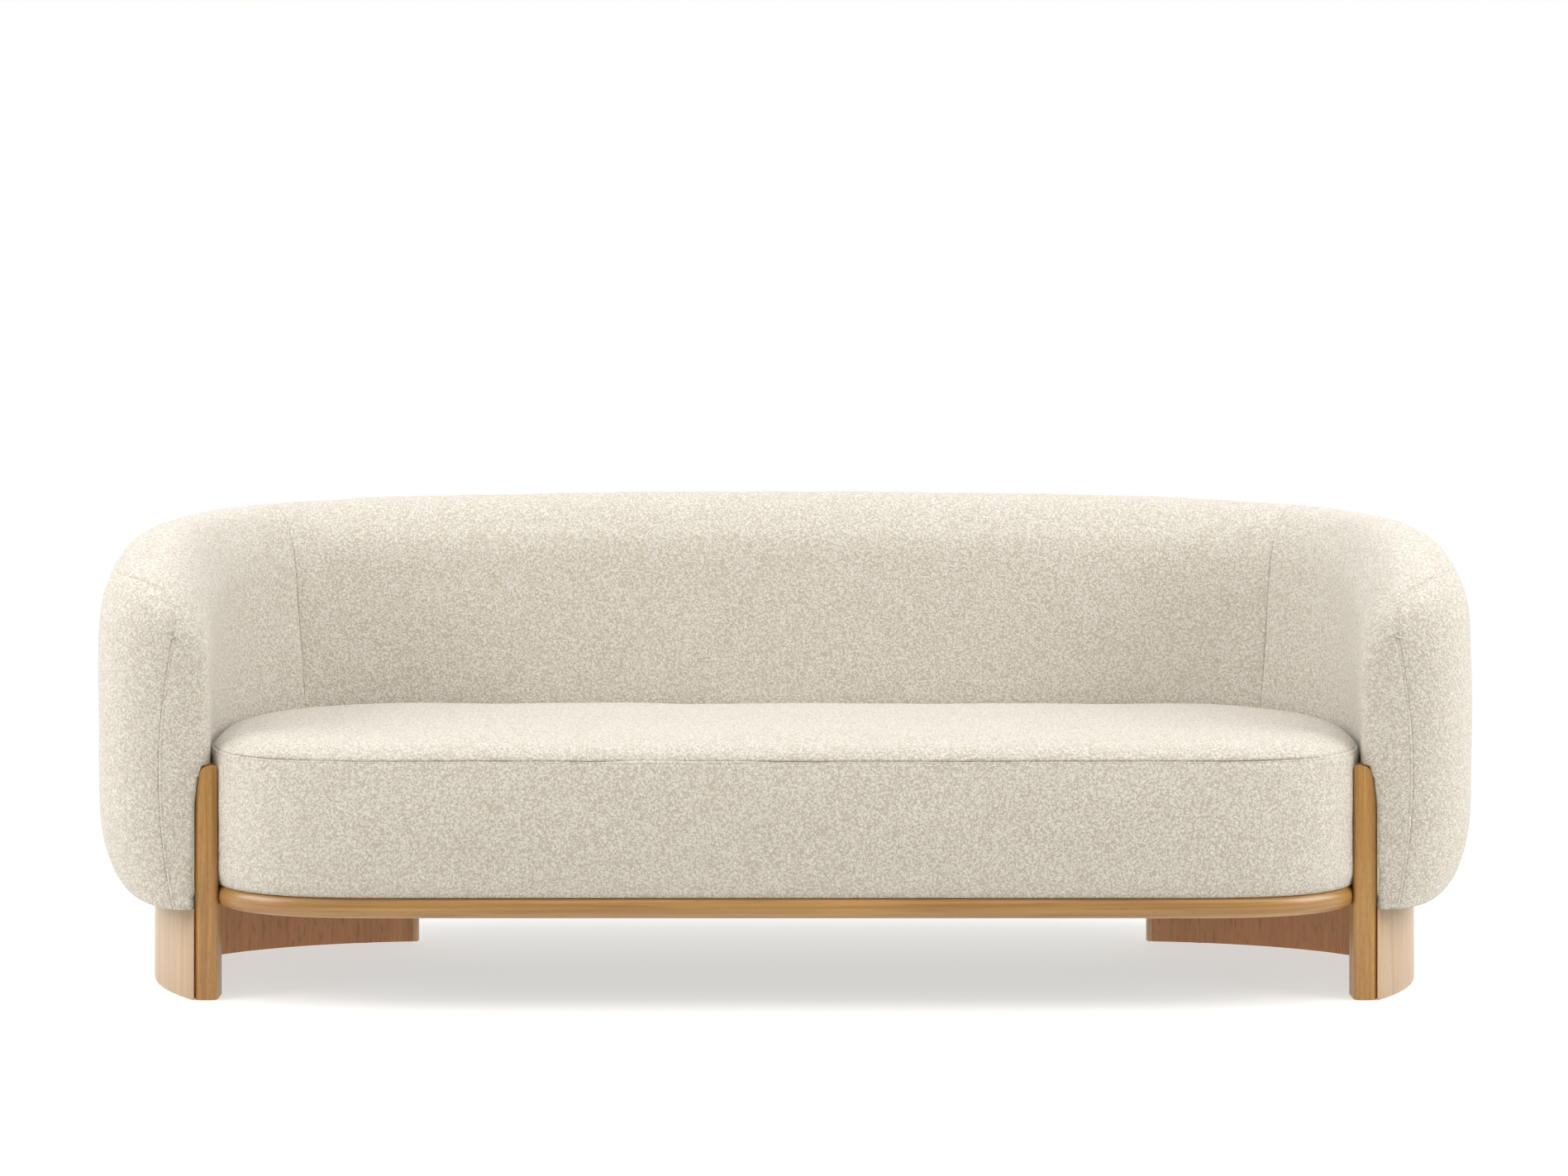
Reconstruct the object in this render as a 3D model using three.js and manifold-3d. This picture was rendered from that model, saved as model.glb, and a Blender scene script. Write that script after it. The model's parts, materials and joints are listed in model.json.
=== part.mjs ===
import * as THREE from "three";
import { mergeVertices } from "three/addons/utils/BufferGeometryUtils.js";
import Module from "manifold-3d";

// A curved three-seat sofa: a U-shaped upholstered shell round an oval bench seat, on a bentwood base.
// Millimetres, +Z up, +X to the right as seen from the front, which faces -Y.
// Sizes are worked out round the middle of the seat's oval; the last lines move the whole.

const wasm = await Module();
wasm.setup();

// Clearances between neighbours
const fit = 0.3;
const seamGap = 0.8;
const overrun = 20;

// The oval that the seat fills and the shell goes round
const oval = {
  straightHalf: 600,
  reach: 340,
  depthHalf: 287,
  frontRoundness: 3,
  backRoundness: 2.3,
};

// Bowed rail under the seat's front, and the hidden ring that it belongs to
const rail = { bottom: 149, height: 33, depth: 52, nose: 14 };

// Solid posts at the arms' fronts
const post = {
  clearOfSeat: 4.56,
  width: 37,
  front: -185,
  depth: 46,
  belowSeam: 24,
  edgeRadius: 11,
  shoulderDrop: 86,
  shoulderIn: 12,
  crownDrop: 9,
};

// C-shaped leg panels, drawn round their own centre
const panel = {
  centreY: 65,
  reachShare: 1.25,
  frontDepth: 372,
  rearDepth: 222,
  frontRoundness: 2,
  rearRoundness: 1.86,
  thickness: 25,
  bottom: 1,
  top: 147.7,
  endPast: 34,
};
const panelReach = oval.reach * panel.reachShare;
const lipping = { width: 11, noseDepth: 7 };
const glide = { radius: 9, height: 6, rearPlace: 124 };

// Upholstered shell
const shell = {
  abovePanel: 0.3,
  sideThickness: 185,
  backThickness: 212,
  backHeight: 777,
  armDrop: 77,
  sag: 27,
  dome: 118,
  lean: 60,
  underWidth: 80,
  underHeight: 160,
  closingStartY: -45,
  closingLength: 148,
  closingDrop: 64,
  seamPlace: 45,
  seamBow: 23,
  cornerSeamPast: 225,
  margin: 14,
};
const shellShares = {
  straightPath: 0.3,
  backPath: 0.8,
  rise: 8.5,
  slopeKept: 0.6,
  innerFullness: 2.3,
  outerFullness: 2.9,
  underFullness: 2.1,
  innerClosing: 5,
  outerClosing: 2,
  topClosing: 2.5,
  domeAngles: [0, 0.22, 0.44, 0.64, 0.83],
  underAngles: [0.34, 0.6, 0.82, 1],
  closingSteps: [0.3, 0.55, 0.75, 0.89, 0.97, 1],
  outerLean: 0.35,
};
const shellBottom = panel.top + shell.abovePanel;

// Layers of the shell, from the fabric inwards
const cover = { thickness: 4, turnIn: 2.2 };
const counts = { arm: 5, straight: 3, corner: 4, panel: 26, front: 6, end: 3 };
const former = { above: 4.3, thickness: 18, inner: 8, outerSpare: 5, endPast: 96 };
const frame = { inner: 58, outer: 112, top: 62, board: 18, upright: 40, endPast: 38, clear: 5.5 };
const foam = { base: 1, gap: 0.5 };
const uprightShares = { back: 0.26, shoulder: 0.534, corner: 0.764, arm: 0.938 };
const shellDust = { thickness: 1.4, above: 0.4 };

// Seat
const seat = {
  aboveRail: 0.4,
  seam: 399,
  shoulderRise: 21,
  crownRise: 5,
  frontBulge: 11,
  tuck: 6,
  tuckHeight: 24,
  sideGap: 1.2,
  rollWidth: 46,
};
const seatShares = {
  bulgeLow: 0.9,
  rollFullness: 2.2,
  bandRings: [0, 0.08, 0.3, 0.55, 0.8, 1],
  topRings: [1, 0.985, 0.95, 0.9, 0.84, 0.6, 0.3, 0.1],
};
const seatBottom = rail.bottom + rail.height + seat.aboveRail;
const seatShoulder = seat.seam + seat.shoulderRise;
const seatFrame = {
  outerInset: 28,
  thickness: 26,
  height: 66,
  jointPast: 2,
  crossWidth: 36,
  crossHeight: 40,
};
const spring = { wire: 4, width: 42, rows: 6, endPast: 24, arch: 6, turns: 5, steps: 6, sides: 4 };
const pad = { thickness: 6, inset: 31 };
const seatDust = { thickness: 1.2, inset: 52 };

// Steel parts
const bolt = { shank: 4, head: 8, headHeight: 6, bite: 44 };
const boltAngles = { front: -28, rear: 35 };
const bracket = { thickness: 3, leg: 38, width: 24, radius: 2, stand: 0.7, past: 100 };
const dowel = { radius: 5, reach: 20 };

const colours = {
  fabric: 0xe9e2d4,
  wood: 0xc79a63,
  veneer: 0xd6b795,
  paleWood: 0xdcc39b,
  plywood: 0xcdb48a,
  foam: 0xefe6c8,
  felt: 0x8f8a80,
  steel: 0x9a9c9f,
  dust: 0x2b2b2c,
  nylon: 0x3a3632,
};

function finish(colour, roughness, metalness = 0) {
  return new THREE.MeshStandardMaterial({ color: colour, roughness, metalness });
}

const materials = {
  fabric: finish(colours.fabric, 0.95),
  wood: finish(colours.wood, 0.45),
  veneer: finish(colours.veneer, 0.5),
  paleWood: finish(colours.paleWood, 0.45),
  plywood: finish(colours.plywood, 0.7),
  foam: finish(colours.foam, 1),
  felt: finish(colours.felt, 1),
  steel: finish(colours.steel, 0.35, 1),
  dust: finish(colours.dust, 1),
  nylon: finish(colours.nylon, 0.6),
};

const sofa = new THREE.Group();

function add(name, geometry, material) {
  const mesh = new THREE.Mesh(geometry, material.clone());
  mesh.name = name;
  sofa.add(mesh);
  return mesh;
}

// Smooth step from 0 to 1
function ease(share) {
  const x = Math.min(Math.max(share, 0), 1);
  return x * x * (3 - 2 * x);
}

// The quarter of a superellipse: 1 at 0, 0 at 1
function quarter(share, fullness) {
  const x = Math.min(Math.max(share, 0), 1);
  return (1 - x ** fullness) ** (1 / fullness);
}

// Closed meshes and their cuts
function toSolid(geometry) {
  const bare = geometry.clone();
  bare.deleteAttribute("normal");
  bare.deleteAttribute("uv");
  const merged = mergeVertices(bare, 1e-4);
  return new wasm.Manifold(new wasm.Mesh({
    numProp: 3,
    vertProperties: new Float32Array(merged.attributes.position.array),
    triVerts: new Uint32Array(merged.index.array),
  }));
}

function toGeometry(solid) {
  const mesh = solid.getMesh();
  const geometry = new THREE.BufferGeometry();
  const places = new Float32Array(mesh.numVert * 3);
  for (let i = 0; i < mesh.numVert; i += 1) {
    for (let k = 0; k < 3; k += 1) {
      places[3 * i + k] = mesh.vertProperties[i * mesh.numProp + k];
    }
  }
  geometry.setAttribute("position", new THREE.BufferAttribute(places, 3));
  geometry.setIndex(new THREE.BufferAttribute(new Uint32Array(mesh.triVerts), 1));
  geometry.computeVertexNormals();
  return geometry;
}

function cut(geometry, ...tools) {
  const solid = tools.reduce((left, tool) => left.subtract(toSolid(tool)), toSolid(geometry));
  return toGeometry(solid);
}

function keep(geometry, tool) {
  return toGeometry(toSolid(geometry).intersect(toSolid(tool)));
}

// A box from its two corners
function block(low, high) {
  const size = high.clone().sub(low);
  const box = new THREE.BoxGeometry(size.x, size.y, size.z);
  box.translate(low.x + size.x / 2, low.y + size.y / 2, low.z + size.z / 2);
  return box;
}

function rod(radius, bottom, top, x, y, sides = 14) {
  const cylinder = new THREE.CylinderGeometry(radius, radius, top - bottom, sides);
  cylinder.rotateX(Math.PI / 2);
  cylinder.translate(x, y, (top + bottom) / 2);
  return cylinder;
}

// The same shape on the other side of the sofa, with its faces still pointing out
function mirrored(geometry) {
  const other = geometry.index ? geometry.clone() : mergeVertices(geometry.clone(), 1e-4);
  other.scale(-1, 1, 1);
  const order = other.index.array;
  for (let i = 0; i < order.length; i += 3) {
    const first = order[i];
    order[i] = order[i + 1];
    order[i + 1] = first;
  }
  other.computeVertexNormals();
  return other;
}

// Both sides of a piece that is drawn for the right
function addPair(name, geometry, material) {
  add(`right_${name}`, geometry, material);
  add(`left_${name}`, mirrored(geometry), material);
}

// A closed mesh through rings of points; the ends are capped, or the last ring joins the first
function loft(rings, joined = false) {
  const count = rings[0].length;
  const points = rings.flat();
  const places = points.flatMap((p) => [p.x, p.y, p.z]);
  const faces = [];
  const turns = joined ? rings.length : rings.length - 1;
  for (let i = 0; i < turns; i += 1) {
    const here = i * count;
    const next = ((i + 1) % rings.length) * count;
    for (let j = 0; j < count; j += 1) {
      const k = (j + 1) % count;
      faces.push(...quad(points, here + j, here + k, next + k, next + j));
    }
  }
  if (!joined) {
    faces.push(...cap(rings[0], 0, -1));
    faces.push(...cap(rings[rings.length - 1], (rings.length - 1) * count, 1));
  }
  return closed(places, faces);
}

// Two triangles for four points in turn, split along the shorter diagonal
function quad(points, a, b, c, d) {
  const split = points[a].distanceTo(points[c]) <= points[b].distanceTo(points[d]);
  return split ? [a, b, c, a, c, d] : [a, b, d, b, c, d];
}

// The faces that close a flat ring, looking along the ring's own turn or against it
function cap(ring, start, turn) {
  const normal = ringNormal(ring);
  const along = new THREE.Vector3().subVectors(ring[1], ring[0]).normalize();
  const across = new THREE.Vector3().crossVectors(normal, along);
  const flat = ring.map((p) => {
    const arm = new THREE.Vector3().subVectors(p, ring[0]);
    return new THREE.Vector2(arm.dot(along), arm.dot(across));
  });
  return THREE.ShapeUtils.triangulateShape(flat, []).flatMap(([a, b, c]) => {
    const one = new THREE.Vector2().subVectors(flat[b], flat[a]);
    const two = new THREE.Vector2().subVectors(flat[c], flat[a]);
    return one.cross(two) * turn > 0 ? [start + a, start + b, start + c] : [start + a, start + c, start + b];
  });
}

function ringNormal(ring) {
  const total = new THREE.Vector3();
  ring.forEach((p, i) => {
    const q = ring[(i + 1) % ring.length];
    total.add(new THREE.Vector3().crossVectors(p, q));
  });
  return total.normalize();
}

// A closed body from its faces, turned inside out if its volume comes out negative
function closed(places, faces) {
  const point = (i) => new THREE.Vector3(places[3 * i], places[3 * i + 1], places[3 * i + 2]);
  let volume = 0;
  for (let i = 0; i < faces.length; i += 3) {
    volume += point(faces[i]).dot(point(faces[i + 1]).cross(point(faces[i + 2])));
  }
  const order = [...faces];
  if (volume < 0) {
    order.reverse();
  }
  const geometry = new THREE.BufferGeometry();
  geometry.setAttribute("position", new THREE.Float32BufferAttribute(places, 3));
  geometry.setIndex(order);
  geometry.computeVertexNormals();
  return geometry;
}

// A sheet with two faces and four edges, from two matching grids of points
function sheet(outer, inner) {
  const rows = outer.length;
  const columns = outer[0].length;
  const points = [...outer.flat(), ...inner.flat()];
  const places = points.flatMap((p) => [p.x, p.y, p.z]);
  const at = (side, i, j) => side * rows * columns + i * columns + j;
  const faces = [];
  const face = (a, b, c, d) => faces.push(...quad(points, a, b, c, d));
  for (let i = 0; i + 1 < rows; i += 1) {
    for (let j = 0; j + 1 < columns; j += 1) {
      face(at(0, i, j), at(0, i + 1, j), at(0, i + 1, j + 1), at(0, i, j + 1));
      face(at(1, i, j), at(1, i, j + 1), at(1, i + 1, j + 1), at(1, i + 1, j));
    }
    face(at(0, i, 0), at(1, i, 0), at(1, i + 1, 0), at(0, i + 1, 0));
    face(at(0, i, columns - 1), at(0, i + 1, columns - 1), at(1, i + 1, columns - 1), at(1, i, columns - 1));
  }
  for (let j = 0; j + 1 < columns; j += 1) {
    face(at(0, 0, j), at(0, 0, j + 1), at(1, 0, j + 1), at(1, 0, j));
    face(at(0, rows - 1, j), at(1, rows - 1, j), at(1, rows - 1, j + 1), at(0, rows - 1, j + 1));
  }
  return closed(places, faces);
}

// A point on the seat's oval: the angle is 0 at the right, a quarter turn at the back's corner end
function ovalPoint(angle, side = 1) {
  const c = Math.cos(angle);
  const s = Math.sin(angle);
  const roundness = s < 0 ? oval.frontRoundness : oval.backRoundness;
  const x = oval.straightHalf + oval.reach * Math.abs(c) ** (2 / roundness);
  const y = oval.depthHalf * Math.sign(s) * Math.abs(s) ** (2 / roundness);
  return new THREE.Vector2(side * x, y);
}

// How far the oval reaches in X at a given Y
function ovalReach(y) {
  const roundness = y < 0 ? oval.frontRoundness : oval.backRoundness;
  return oval.straightHalf + oval.reach * quarter(Math.abs(y) / oval.depthHalf, roundness);
}

// The shell's path: the back half of the oval, from the back's middle to where the arm starts to close
class ShellPath extends THREE.Curve {
  constructor() {
    super();
    this.arcLengthDivisions = 1200;
    const roundness = oval.frontRoundness;
    this.endAngle = -Math.asin((-shell.closingStartY / oval.depthHalf) ** (roundness / 2));
    this.straightShare = shellShares.straightPath;
  }

  getPoint(t, target = new THREE.Vector3()) {
    if (t < this.straightShare) {
      return target.set(oval.straightHalf * (t / this.straightShare), oval.depthHalf, 0);
    }
    const share = (t - this.straightShare) / (1 - this.straightShare);
    const p = ovalPoint(Math.PI / 2 + (this.endAngle - Math.PI / 2) * share);
    return target.set(p.x, p.y, 0);
  }
}

const path = new ShellPath();
const pathLength = path.getLength();

// Where the path crosses a given X, as a distance from the back's middle
function distanceAtX(x) {
  let low = 0;
  let high = pathLength * shellShares.backPath;
  while (high - low > pathLength * 1e-6) {
    const middle = (low + high) / 2;
    if (path.getPointAt(middle / pathLength).x < x) {
      low = middle;
    } else {
      high = middle;
    }
  }
  return (low + high) / 2;
}

// A place along the path: its point, its outward direction and how far it is into the arm's closing
function station(distance) {
  const side = distance < 0 ? -1 : 1;
  const away = Math.abs(distance);
  const share = Math.min(away / pathLength, 1);
  const p = path.getPointAt(share);
  const t = path.getTangentAt(share);
  const past = Math.max(away - pathLength, 0);
  p.addScaledVector(t, past);
  const follow = past > 0 ? ovalReach(p.y) - p.x : 0;
  return {
    side,
    share,
    past,
    follow,
    x: p.x,
    y: p.y,
    outX: -t.y,
    outY: t.x,
  };
}

// A point at a distance outward from the path and a height
function place(at, out, z) {
  return new THREE.Vector3(at.side * (at.x + at.outX * out), at.y + at.outY * out, z);
}

// Sizes of the shell's section at a station, drawn in by an inset
function sectionSizes(at, inset) {
  const depthShare = ease(at.y / oval.depthHalf);
  const along = at.share + shellShares.slopeKept * (at.past / pathLength);
  const fall = shell.armDrop - shell.sag;
  const crest = shell.backHeight - shell.sag * along ** 2 - fall * along ** shellShares.rise;
  const closing = Math.min(at.past / (shell.closingLength - inset), 1);
  return {
    closing,
    thickness: shell.sideThickness + (shell.backThickness - shell.sideThickness) * depthShare,
    top: crest - inset - shell.closingDrop * (1 - quarter(closing, shellShares.topClosing)),
    lean: shell.lean * depthShare,
  };
}

// How far the back leans outward at a height
function leanAt(lean, z) {
  return lean * Math.max(z - seatShoulder, 0) / (shell.backHeight - seatShoulder);
}

// Draws a point of the section towards the arm's front seam as the arm closes
function drawIn(size, out, z, isInner) {
  if (size.closing <= 0) {
    return out;
  }
  const middle = (shellBottom + size.top) / 2;
  const half = (size.top - shellBottom) / 2;
  const seam = shell.seamPlace + shell.seamBow * (1 - ((z - middle) / half) ** 2);
  const edge = seam + (isInner ? -1 : 1) * (seamGap / 2);
  const draw = quarter(size.closing, isInner ? shellShares.innerClosing : shellShares.outerClosing);
  return edge + (out - edge) * draw;
}

// The shell's section as points in space, from the inner margin over the crest to the outer margin
const crestIndex = 4 + shellShares.domeAngles.length;
const coverSeamIndex = crestIndex + 2;

function section(at, inset) {
  const size = sectionSizes(at, inset);
  const bottom = shellBottom + inset;
  const domeStart = size.top - shell.dome;
  const underTop = shellBottom + shell.underHeight;
  const innerAt = (z) => at.follow + inset + leanAt(size.lean, z);
  const outerAt = (z) => {
    const under = 1 - quarter(Math.max((underTop - z) / shell.underHeight, 0), shellShares.underFullness);
    return size.thickness - inset + leanAt(size.lean, z) * shellShares.outerLean - shell.underWidth * under;
  };
  const inner = [];
  const outer = [];
  const domed = (angle, from, fullness) => {
    const z = domeStart + shell.dome * Math.sin(angle);
    const middle = (innerAt(z) + outerAt(z)) / 2;
    return [middle + (from(z) - middle) * quarter(Math.sin(angle), fullness), z];
  };
  inner.push([innerAt(bottom) + shell.margin - inset, bottom]);
  [bottom, seatShoulder, (seatShoulder + domeStart) / 2].forEach((z) => inner.push([innerAt(z), z]));
  shellShares.domeAngles.forEach((share) => {
    inner.push(domed(share * Math.PI / 2, innerAt, shellShares.innerFullness));
    outer.unshift(domed(share * Math.PI / 2, outerAt, shellShares.outerFullness));
  });
  inner.push(domed(Math.PI / 2, innerAt, shellShares.innerFullness));
  outer.push([outerAt((domeStart + underTop) / 2), (domeStart + underTop) / 2]);
  outer.push([outerAt(underTop), underTop]);
  shellShares.underAngles.forEach((share) => {
    const z = underTop - (underTop - bottom) * Math.sin(share * Math.PI / 2);
    outer.push([outerAt(z), z]);
  });
  outer.push([outerAt(bottom) - shell.margin + inset, bottom]);
  return [
    ...inner.map(([out, z]) => place(at, drawIn(size, out, z, true), z)),
    ...outer.map(([out, z]) => place(at, drawIn(size, out, z, false), z)),
  ];
}

// Distances of the stations, from the corner seam to the arm's front, and across the back
const cornerSeam = distanceAtX(oval.straightHalf + shell.cornerSeamPast);

function spread(from, to, count) {
  return Array.from({ length: count + 1 }, (_, i) => from + (to - from) * (i / count));
}

function armDistances(inset, start = cornerSeam + seamGap / 2) {
  const along = spread(start, pathLength, counts.arm);
  const reach = shell.closingLength - inset;
  return [...along, ...shellShares.closingSteps.map((share) => pathLength + reach * share)];
}

function backDistances(end = cornerSeam - seamGap / 2) {
  const half = [
    ...spread(0, oval.straightHalf, counts.straight).slice(0, -1),
    ...spread(oval.straightHalf, end, counts.corner),
  ];
  return [...half.slice(1).reverse().map((d) => -d), ...half];
}

// A fabric panel of the shell: a run of stations by a run of section points
function coverPanel(distancesAt, first, last, seams) {
  const row = (distance, inset) => section(station(distance), inset).slice(first, last + 1);
  const grid = (inset) => distancesAt(inset).map((distance) => row(distance, inset));
  const outer = grid(0);
  const inner = grid(cover.thickness);
  const apart = (rows, i, j, nextI, nextJ) => {
    const p = rows[i][j];
    const step = p.distanceTo(rows[nextI][nextJ]);
    p.lerp(rows[nextI][nextJ], Math.min(seamGap / 2 / step, 0.5));
  };
  const dip = cover.turnIn / cover.thickness;
  const end = outer.length - 1;
  const side = last - first;
  outer.forEach((points, i) => {
    if (seams.low) {
      [outer, inner].forEach((rows) => apart(rows, i, 0, i, 1));
      points[0].lerp(inner[i][0], dip);
    }
    if (seams.high) {
      [outer, inner].forEach((rows) => apart(rows, i, side, i, side - 1));
      points[side].lerp(inner[i][side], dip);
    }
  });
  const edges = [seams.start ? 0 : null, seams.end ? end : null].filter((i) => i !== null);
  edges.forEach((i) => outer[i].forEach((p, j) => p.lerp(inner[i][j], dip)));
  return sheet(outer, inner);
}

// Post
const postBack = post.front + post.depth;
const postInner = ovalReach(post.front) + post.clearOfSeat;
const postOuter = postInner + post.width;
const postTop = seat.seam - post.belowSeam;

function postShape() {
  const shape = new THREE.Shape();
  const r = post.edgeRadius;
  shape.moveTo(postInner, postBack);
  shape.lineTo(postInner, post.front + r);
  shape.quadraticCurveTo(postInner, post.front, postInner + r, post.front);
  shape.lineTo(postOuter - r, post.front);
  shape.quadraticCurveTo(postOuter, post.front, postOuter, post.front + r);
  shape.lineTo(postOuter, postBack);
  return shape;
}

function postFace() {
  const shape = new THREE.Shape();
  const drop = postTop - post.shoulderDrop;
  const crown = postTop - post.crownDrop;
  const outer = postOuter - post.shoulderIn;
  shape.moveTo(postInner, panel.bottom);
  shape.lineTo(postOuter, panel.bottom);
  shape.lineTo(postOuter, drop);
  shape.quadraticCurveTo(postOuter, crown - post.shoulderDrop / 2, outer + post.crownDrop / 3, crown);
  shape.quadraticCurveTo(outer, postTop, outer - post.crownDrop, postTop);
  shape.lineTo(postInner + post.crownDrop / 2, postTop);
  shape.quadraticCurveTo(postInner, postTop, postInner, crown);
  return shape;
}

function extrude(shape, bottom, top, curveSegments = 6) {
  const settings = { depth: top - bottom, bevelEnabled: false, curveSegments };
  const geometry = new THREE.ExtrudeGeometry(shape, settings);
  geometry.translate(0, 0, bottom);
  return geometry;
}

const glidePlaces = {
  front: new THREE.Vector2((postInner + postOuter) / 2, post.front + post.depth / 2),
};

function glidePocket(p) {
  return rod(glide.radius + fit * 1.5, panel.bottom - overrun, glide.height + fit, p.x, p.y);
}

const dowelCentre = new THREE.Vector3(
  postInner,
  post.front + post.depth / 2,
  rail.bottom + rail.height / 2,
);

function dowelRod(radius, reach) {
  const cylinder = new THREE.CylinderGeometry(radius, radius, reach * 2, 12);
  cylinder.rotateZ(Math.PI / 2);
  cylinder.translate(dowelCentre.x, dowelCentre.y, dowelCentre.z);
  return cylinder;
}

function makePost() {
  const upright = extrude(postShape(), panel.bottom, postTop);
  const face = extrude(postFace(), post.front - overrun, postBack + overrun);
  face.rotateX(Math.PI / 2);
  face.translate(0, post.front + postBack, 0);
  const body = keep(upright, face);
  return cut(body, glidePocket(glidePlaces.front), dowelRod(dowel.radius + fit, dowel.reach + fit));
}

addPair("front_post", makePost(), materials.wood);
addPair("rail_dowel", dowelRod(dowel.radius, dowel.reach), materials.paleWood);

// The room that a post takes out of what it stands in
const postRoom = block(
  new THREE.Vector3(postInner - fit, post.front - overrun * 2, panel.bottom - overrun),
  new THREE.Vector3(postOuter + fit, postBack + fit, postTop + fit),
);
const postRooms = [postRoom, mirrored(postRoom)];

// Leg panel
function panelPoint(angle, out = 0) {
  const at = (turn) => {
    const c = Math.cos(turn);
    const s = Math.sin(turn);
    const roundness = s < 0 ? panel.frontRoundness : panel.rearRoundness;
    const depth = s < 0 ? panel.frontDepth : panel.rearDepth;
    const x = oval.straightHalf + panelReach * Math.abs(c) ** (2 / roundness);
    return new THREE.Vector2(x, panel.centreY + depth * Math.sign(s) * Math.abs(s) ** (2 / roundness));
  };
  const step = 1e-3;
  const p = at(angle);
  const along = at(angle + step).sub(at(angle - step)).normalize();
  return p.add(new THREE.Vector2(along.y, -along.x).multiplyScalar(out));
}

// The angle at which the panel's inner face reaches an X, on the rear half
function panelAngleAtX(x) {
  const share = (x - oval.straightHalf) / panelReach;
  return Math.acos(share ** (panel.rearRoundness / 2));
}

function panelShape(from, to, count) {
  const inner = spread(from, to, count).map((angle) => panelPoint(angle));
  const outer = spread(from, to, count).map((angle) => panelPoint(angle, panel.thickness));
  return new THREE.Shape([...outer, ...inner.reverse()]);
}

const panelEnd = panelAngleAtX(oval.straightHalf + panel.endPast + lipping.width);
const panelStart = -Math.asin((panel.centreY - post.front) / panel.frontDepth);
glidePlaces.side = panelPoint(0, panel.thickness / 2);
const rearGlideX = oval.straightHalf + glide.rearPlace;
glidePlaces.rear = panelPoint(panelAngleAtX(rearGlideX), panel.thickness / 2);
const boltPlaces = {
  front: panelPoint(THREE.MathUtils.degToRad(boltAngles.front), panel.thickness / 2),
  rear: panelPoint(THREE.MathUtils.degToRad(boltAngles.rear), panel.thickness / 2),
};

function boltHole(p) {
  return rod(bolt.shank + fit * 2, panel.top - bolt.bite - fit, seatBottom, p.x, p.y, 10);
}

function makePanel() {
  const body = extrude(panelShape(panelStart, panelEnd, counts.panel), panel.bottom, panel.top);
  return cut(
    body,
    postRoom,
    glidePocket(glidePlaces.side),
    glidePocket(glidePlaces.rear),
    boltHole(boltPlaces.front),
    boltHole(boltPlaces.rear),
  );
}

addPair("leg_panel", makePanel(), materials.veneer);

// The strip on the panel's rear end, with its free edge rounded in plan
function makeLipping() {
  const inner = panelPoint(panelEnd);
  const outer = panelPoint(panelEnd, panel.thickness);
  const across = outer.clone().sub(inner).normalize();
  const away = new THREE.Vector2(-Math.abs(across.y), across.x * Math.sign(across.y));
  const at = (share, out) => inner.clone()
    .addScaledVector(across, panel.thickness * share)
    .addScaledVector(away, out);
  const straight = lipping.width - lipping.noseDepth;
  const shape = new THREE.Shape();
  const points = [at(0, fit), at(0, straight)];
  spread(0, Math.PI, 8).slice(1, -1).forEach((angle) => {
    points.push(at((1 - Math.cos(angle)) / 2, straight + lipping.noseDepth * Math.sin(angle)));
  });
  points.push(at(1, straight), at(1, fit));
  shape.setFromPoints(points);
  return extrude(shape, panel.bottom, panel.top);
}

addPair("rear_lipping", makeLipping(), materials.paleWood);

Object.entries(glidePlaces).forEach(([name, p]) => {
  addPair(`${name}_glide`, rod(glide.radius, 0, glide.height, p.x, p.y), materials.nylon);
});

// Stations round the whole oval, from the right arm's front round the back to the left and along the front
function ovalStations() {
  const frontAngles = spread(path.endAngle, -Math.PI / 2, counts.front);
  const frontRight = frontAngles.slice(1).map((angle) => ovalFrame(angle));
  const backRight = [...spread(cornerSeam, pathLength, counts.arm)].reverse();
  const back = backDistances(cornerSeam).slice(1, -1).reverse();
  const around = [...backRight, ...back, ...backRight.map((d) => -d).reverse()].map((d) => {
    const at = station(d);
    return { x: at.side * at.x, y: at.y, outX: at.side * at.outX, outY: at.outY };
  });
  const flip = (at) => ({ ...at, x: -at.x, outX: -at.outX });
  return [...around, ...frontRight.map(flip), ...[...frontRight].reverse()];
}

// A point of the oval's right half with its outward direction
function ovalFrame(angle) {
  const p = ovalPoint(angle);
  const power = (p.y < 0 ? oval.frontRoundness : oval.backRoundness) - 1;
  const outX = ((p.x - oval.straightHalf) / oval.reach) ** power / oval.reach;
  const outY = (Math.sign(p.y) * (Math.abs(p.y) / oval.depthHalf) ** power) / oval.depthHalf;
  const length = Math.hypot(outX, outY);
  return { x: p.x, y: p.y, outX: outX / length, outY: outY / length };
}

const around = ovalStations();

function ringAt(inset, z, bulge = 0) {
  return around.map((at) => {
    const start = post.front + seat.rollWidth;
    const front = ease((start - at.y) / (start + oval.depthHalf));
    const out = bulge * front - inset;
    return new THREE.Vector3(at.x + at.outX * out, at.y + at.outY * out, z);
  });
}

// Turns rings at several insets and heights into a body that runs round the oval
function aroundOval(rings) {
  return loft(around.map((_, i) => rings.map((ring) => ring[i])), true);
}

// The base ring: a bowed front rail between the posts, and the hidden rest
function railRings() {
  const top = rail.bottom + rail.height;
  const nose = spread(Math.PI / 2, -Math.PI / 2, 8).map((angle) => ringAt(
    seat.sideGap + rail.nose * (1 - Math.cos(angle)),
    rail.bottom + rail.height / 2 + (rail.height / 2) * Math.sin(angle),
  ));
  return [...nose, ringAt(rail.depth, rail.bottom), ringAt(rail.depth, top)];
}

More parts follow.
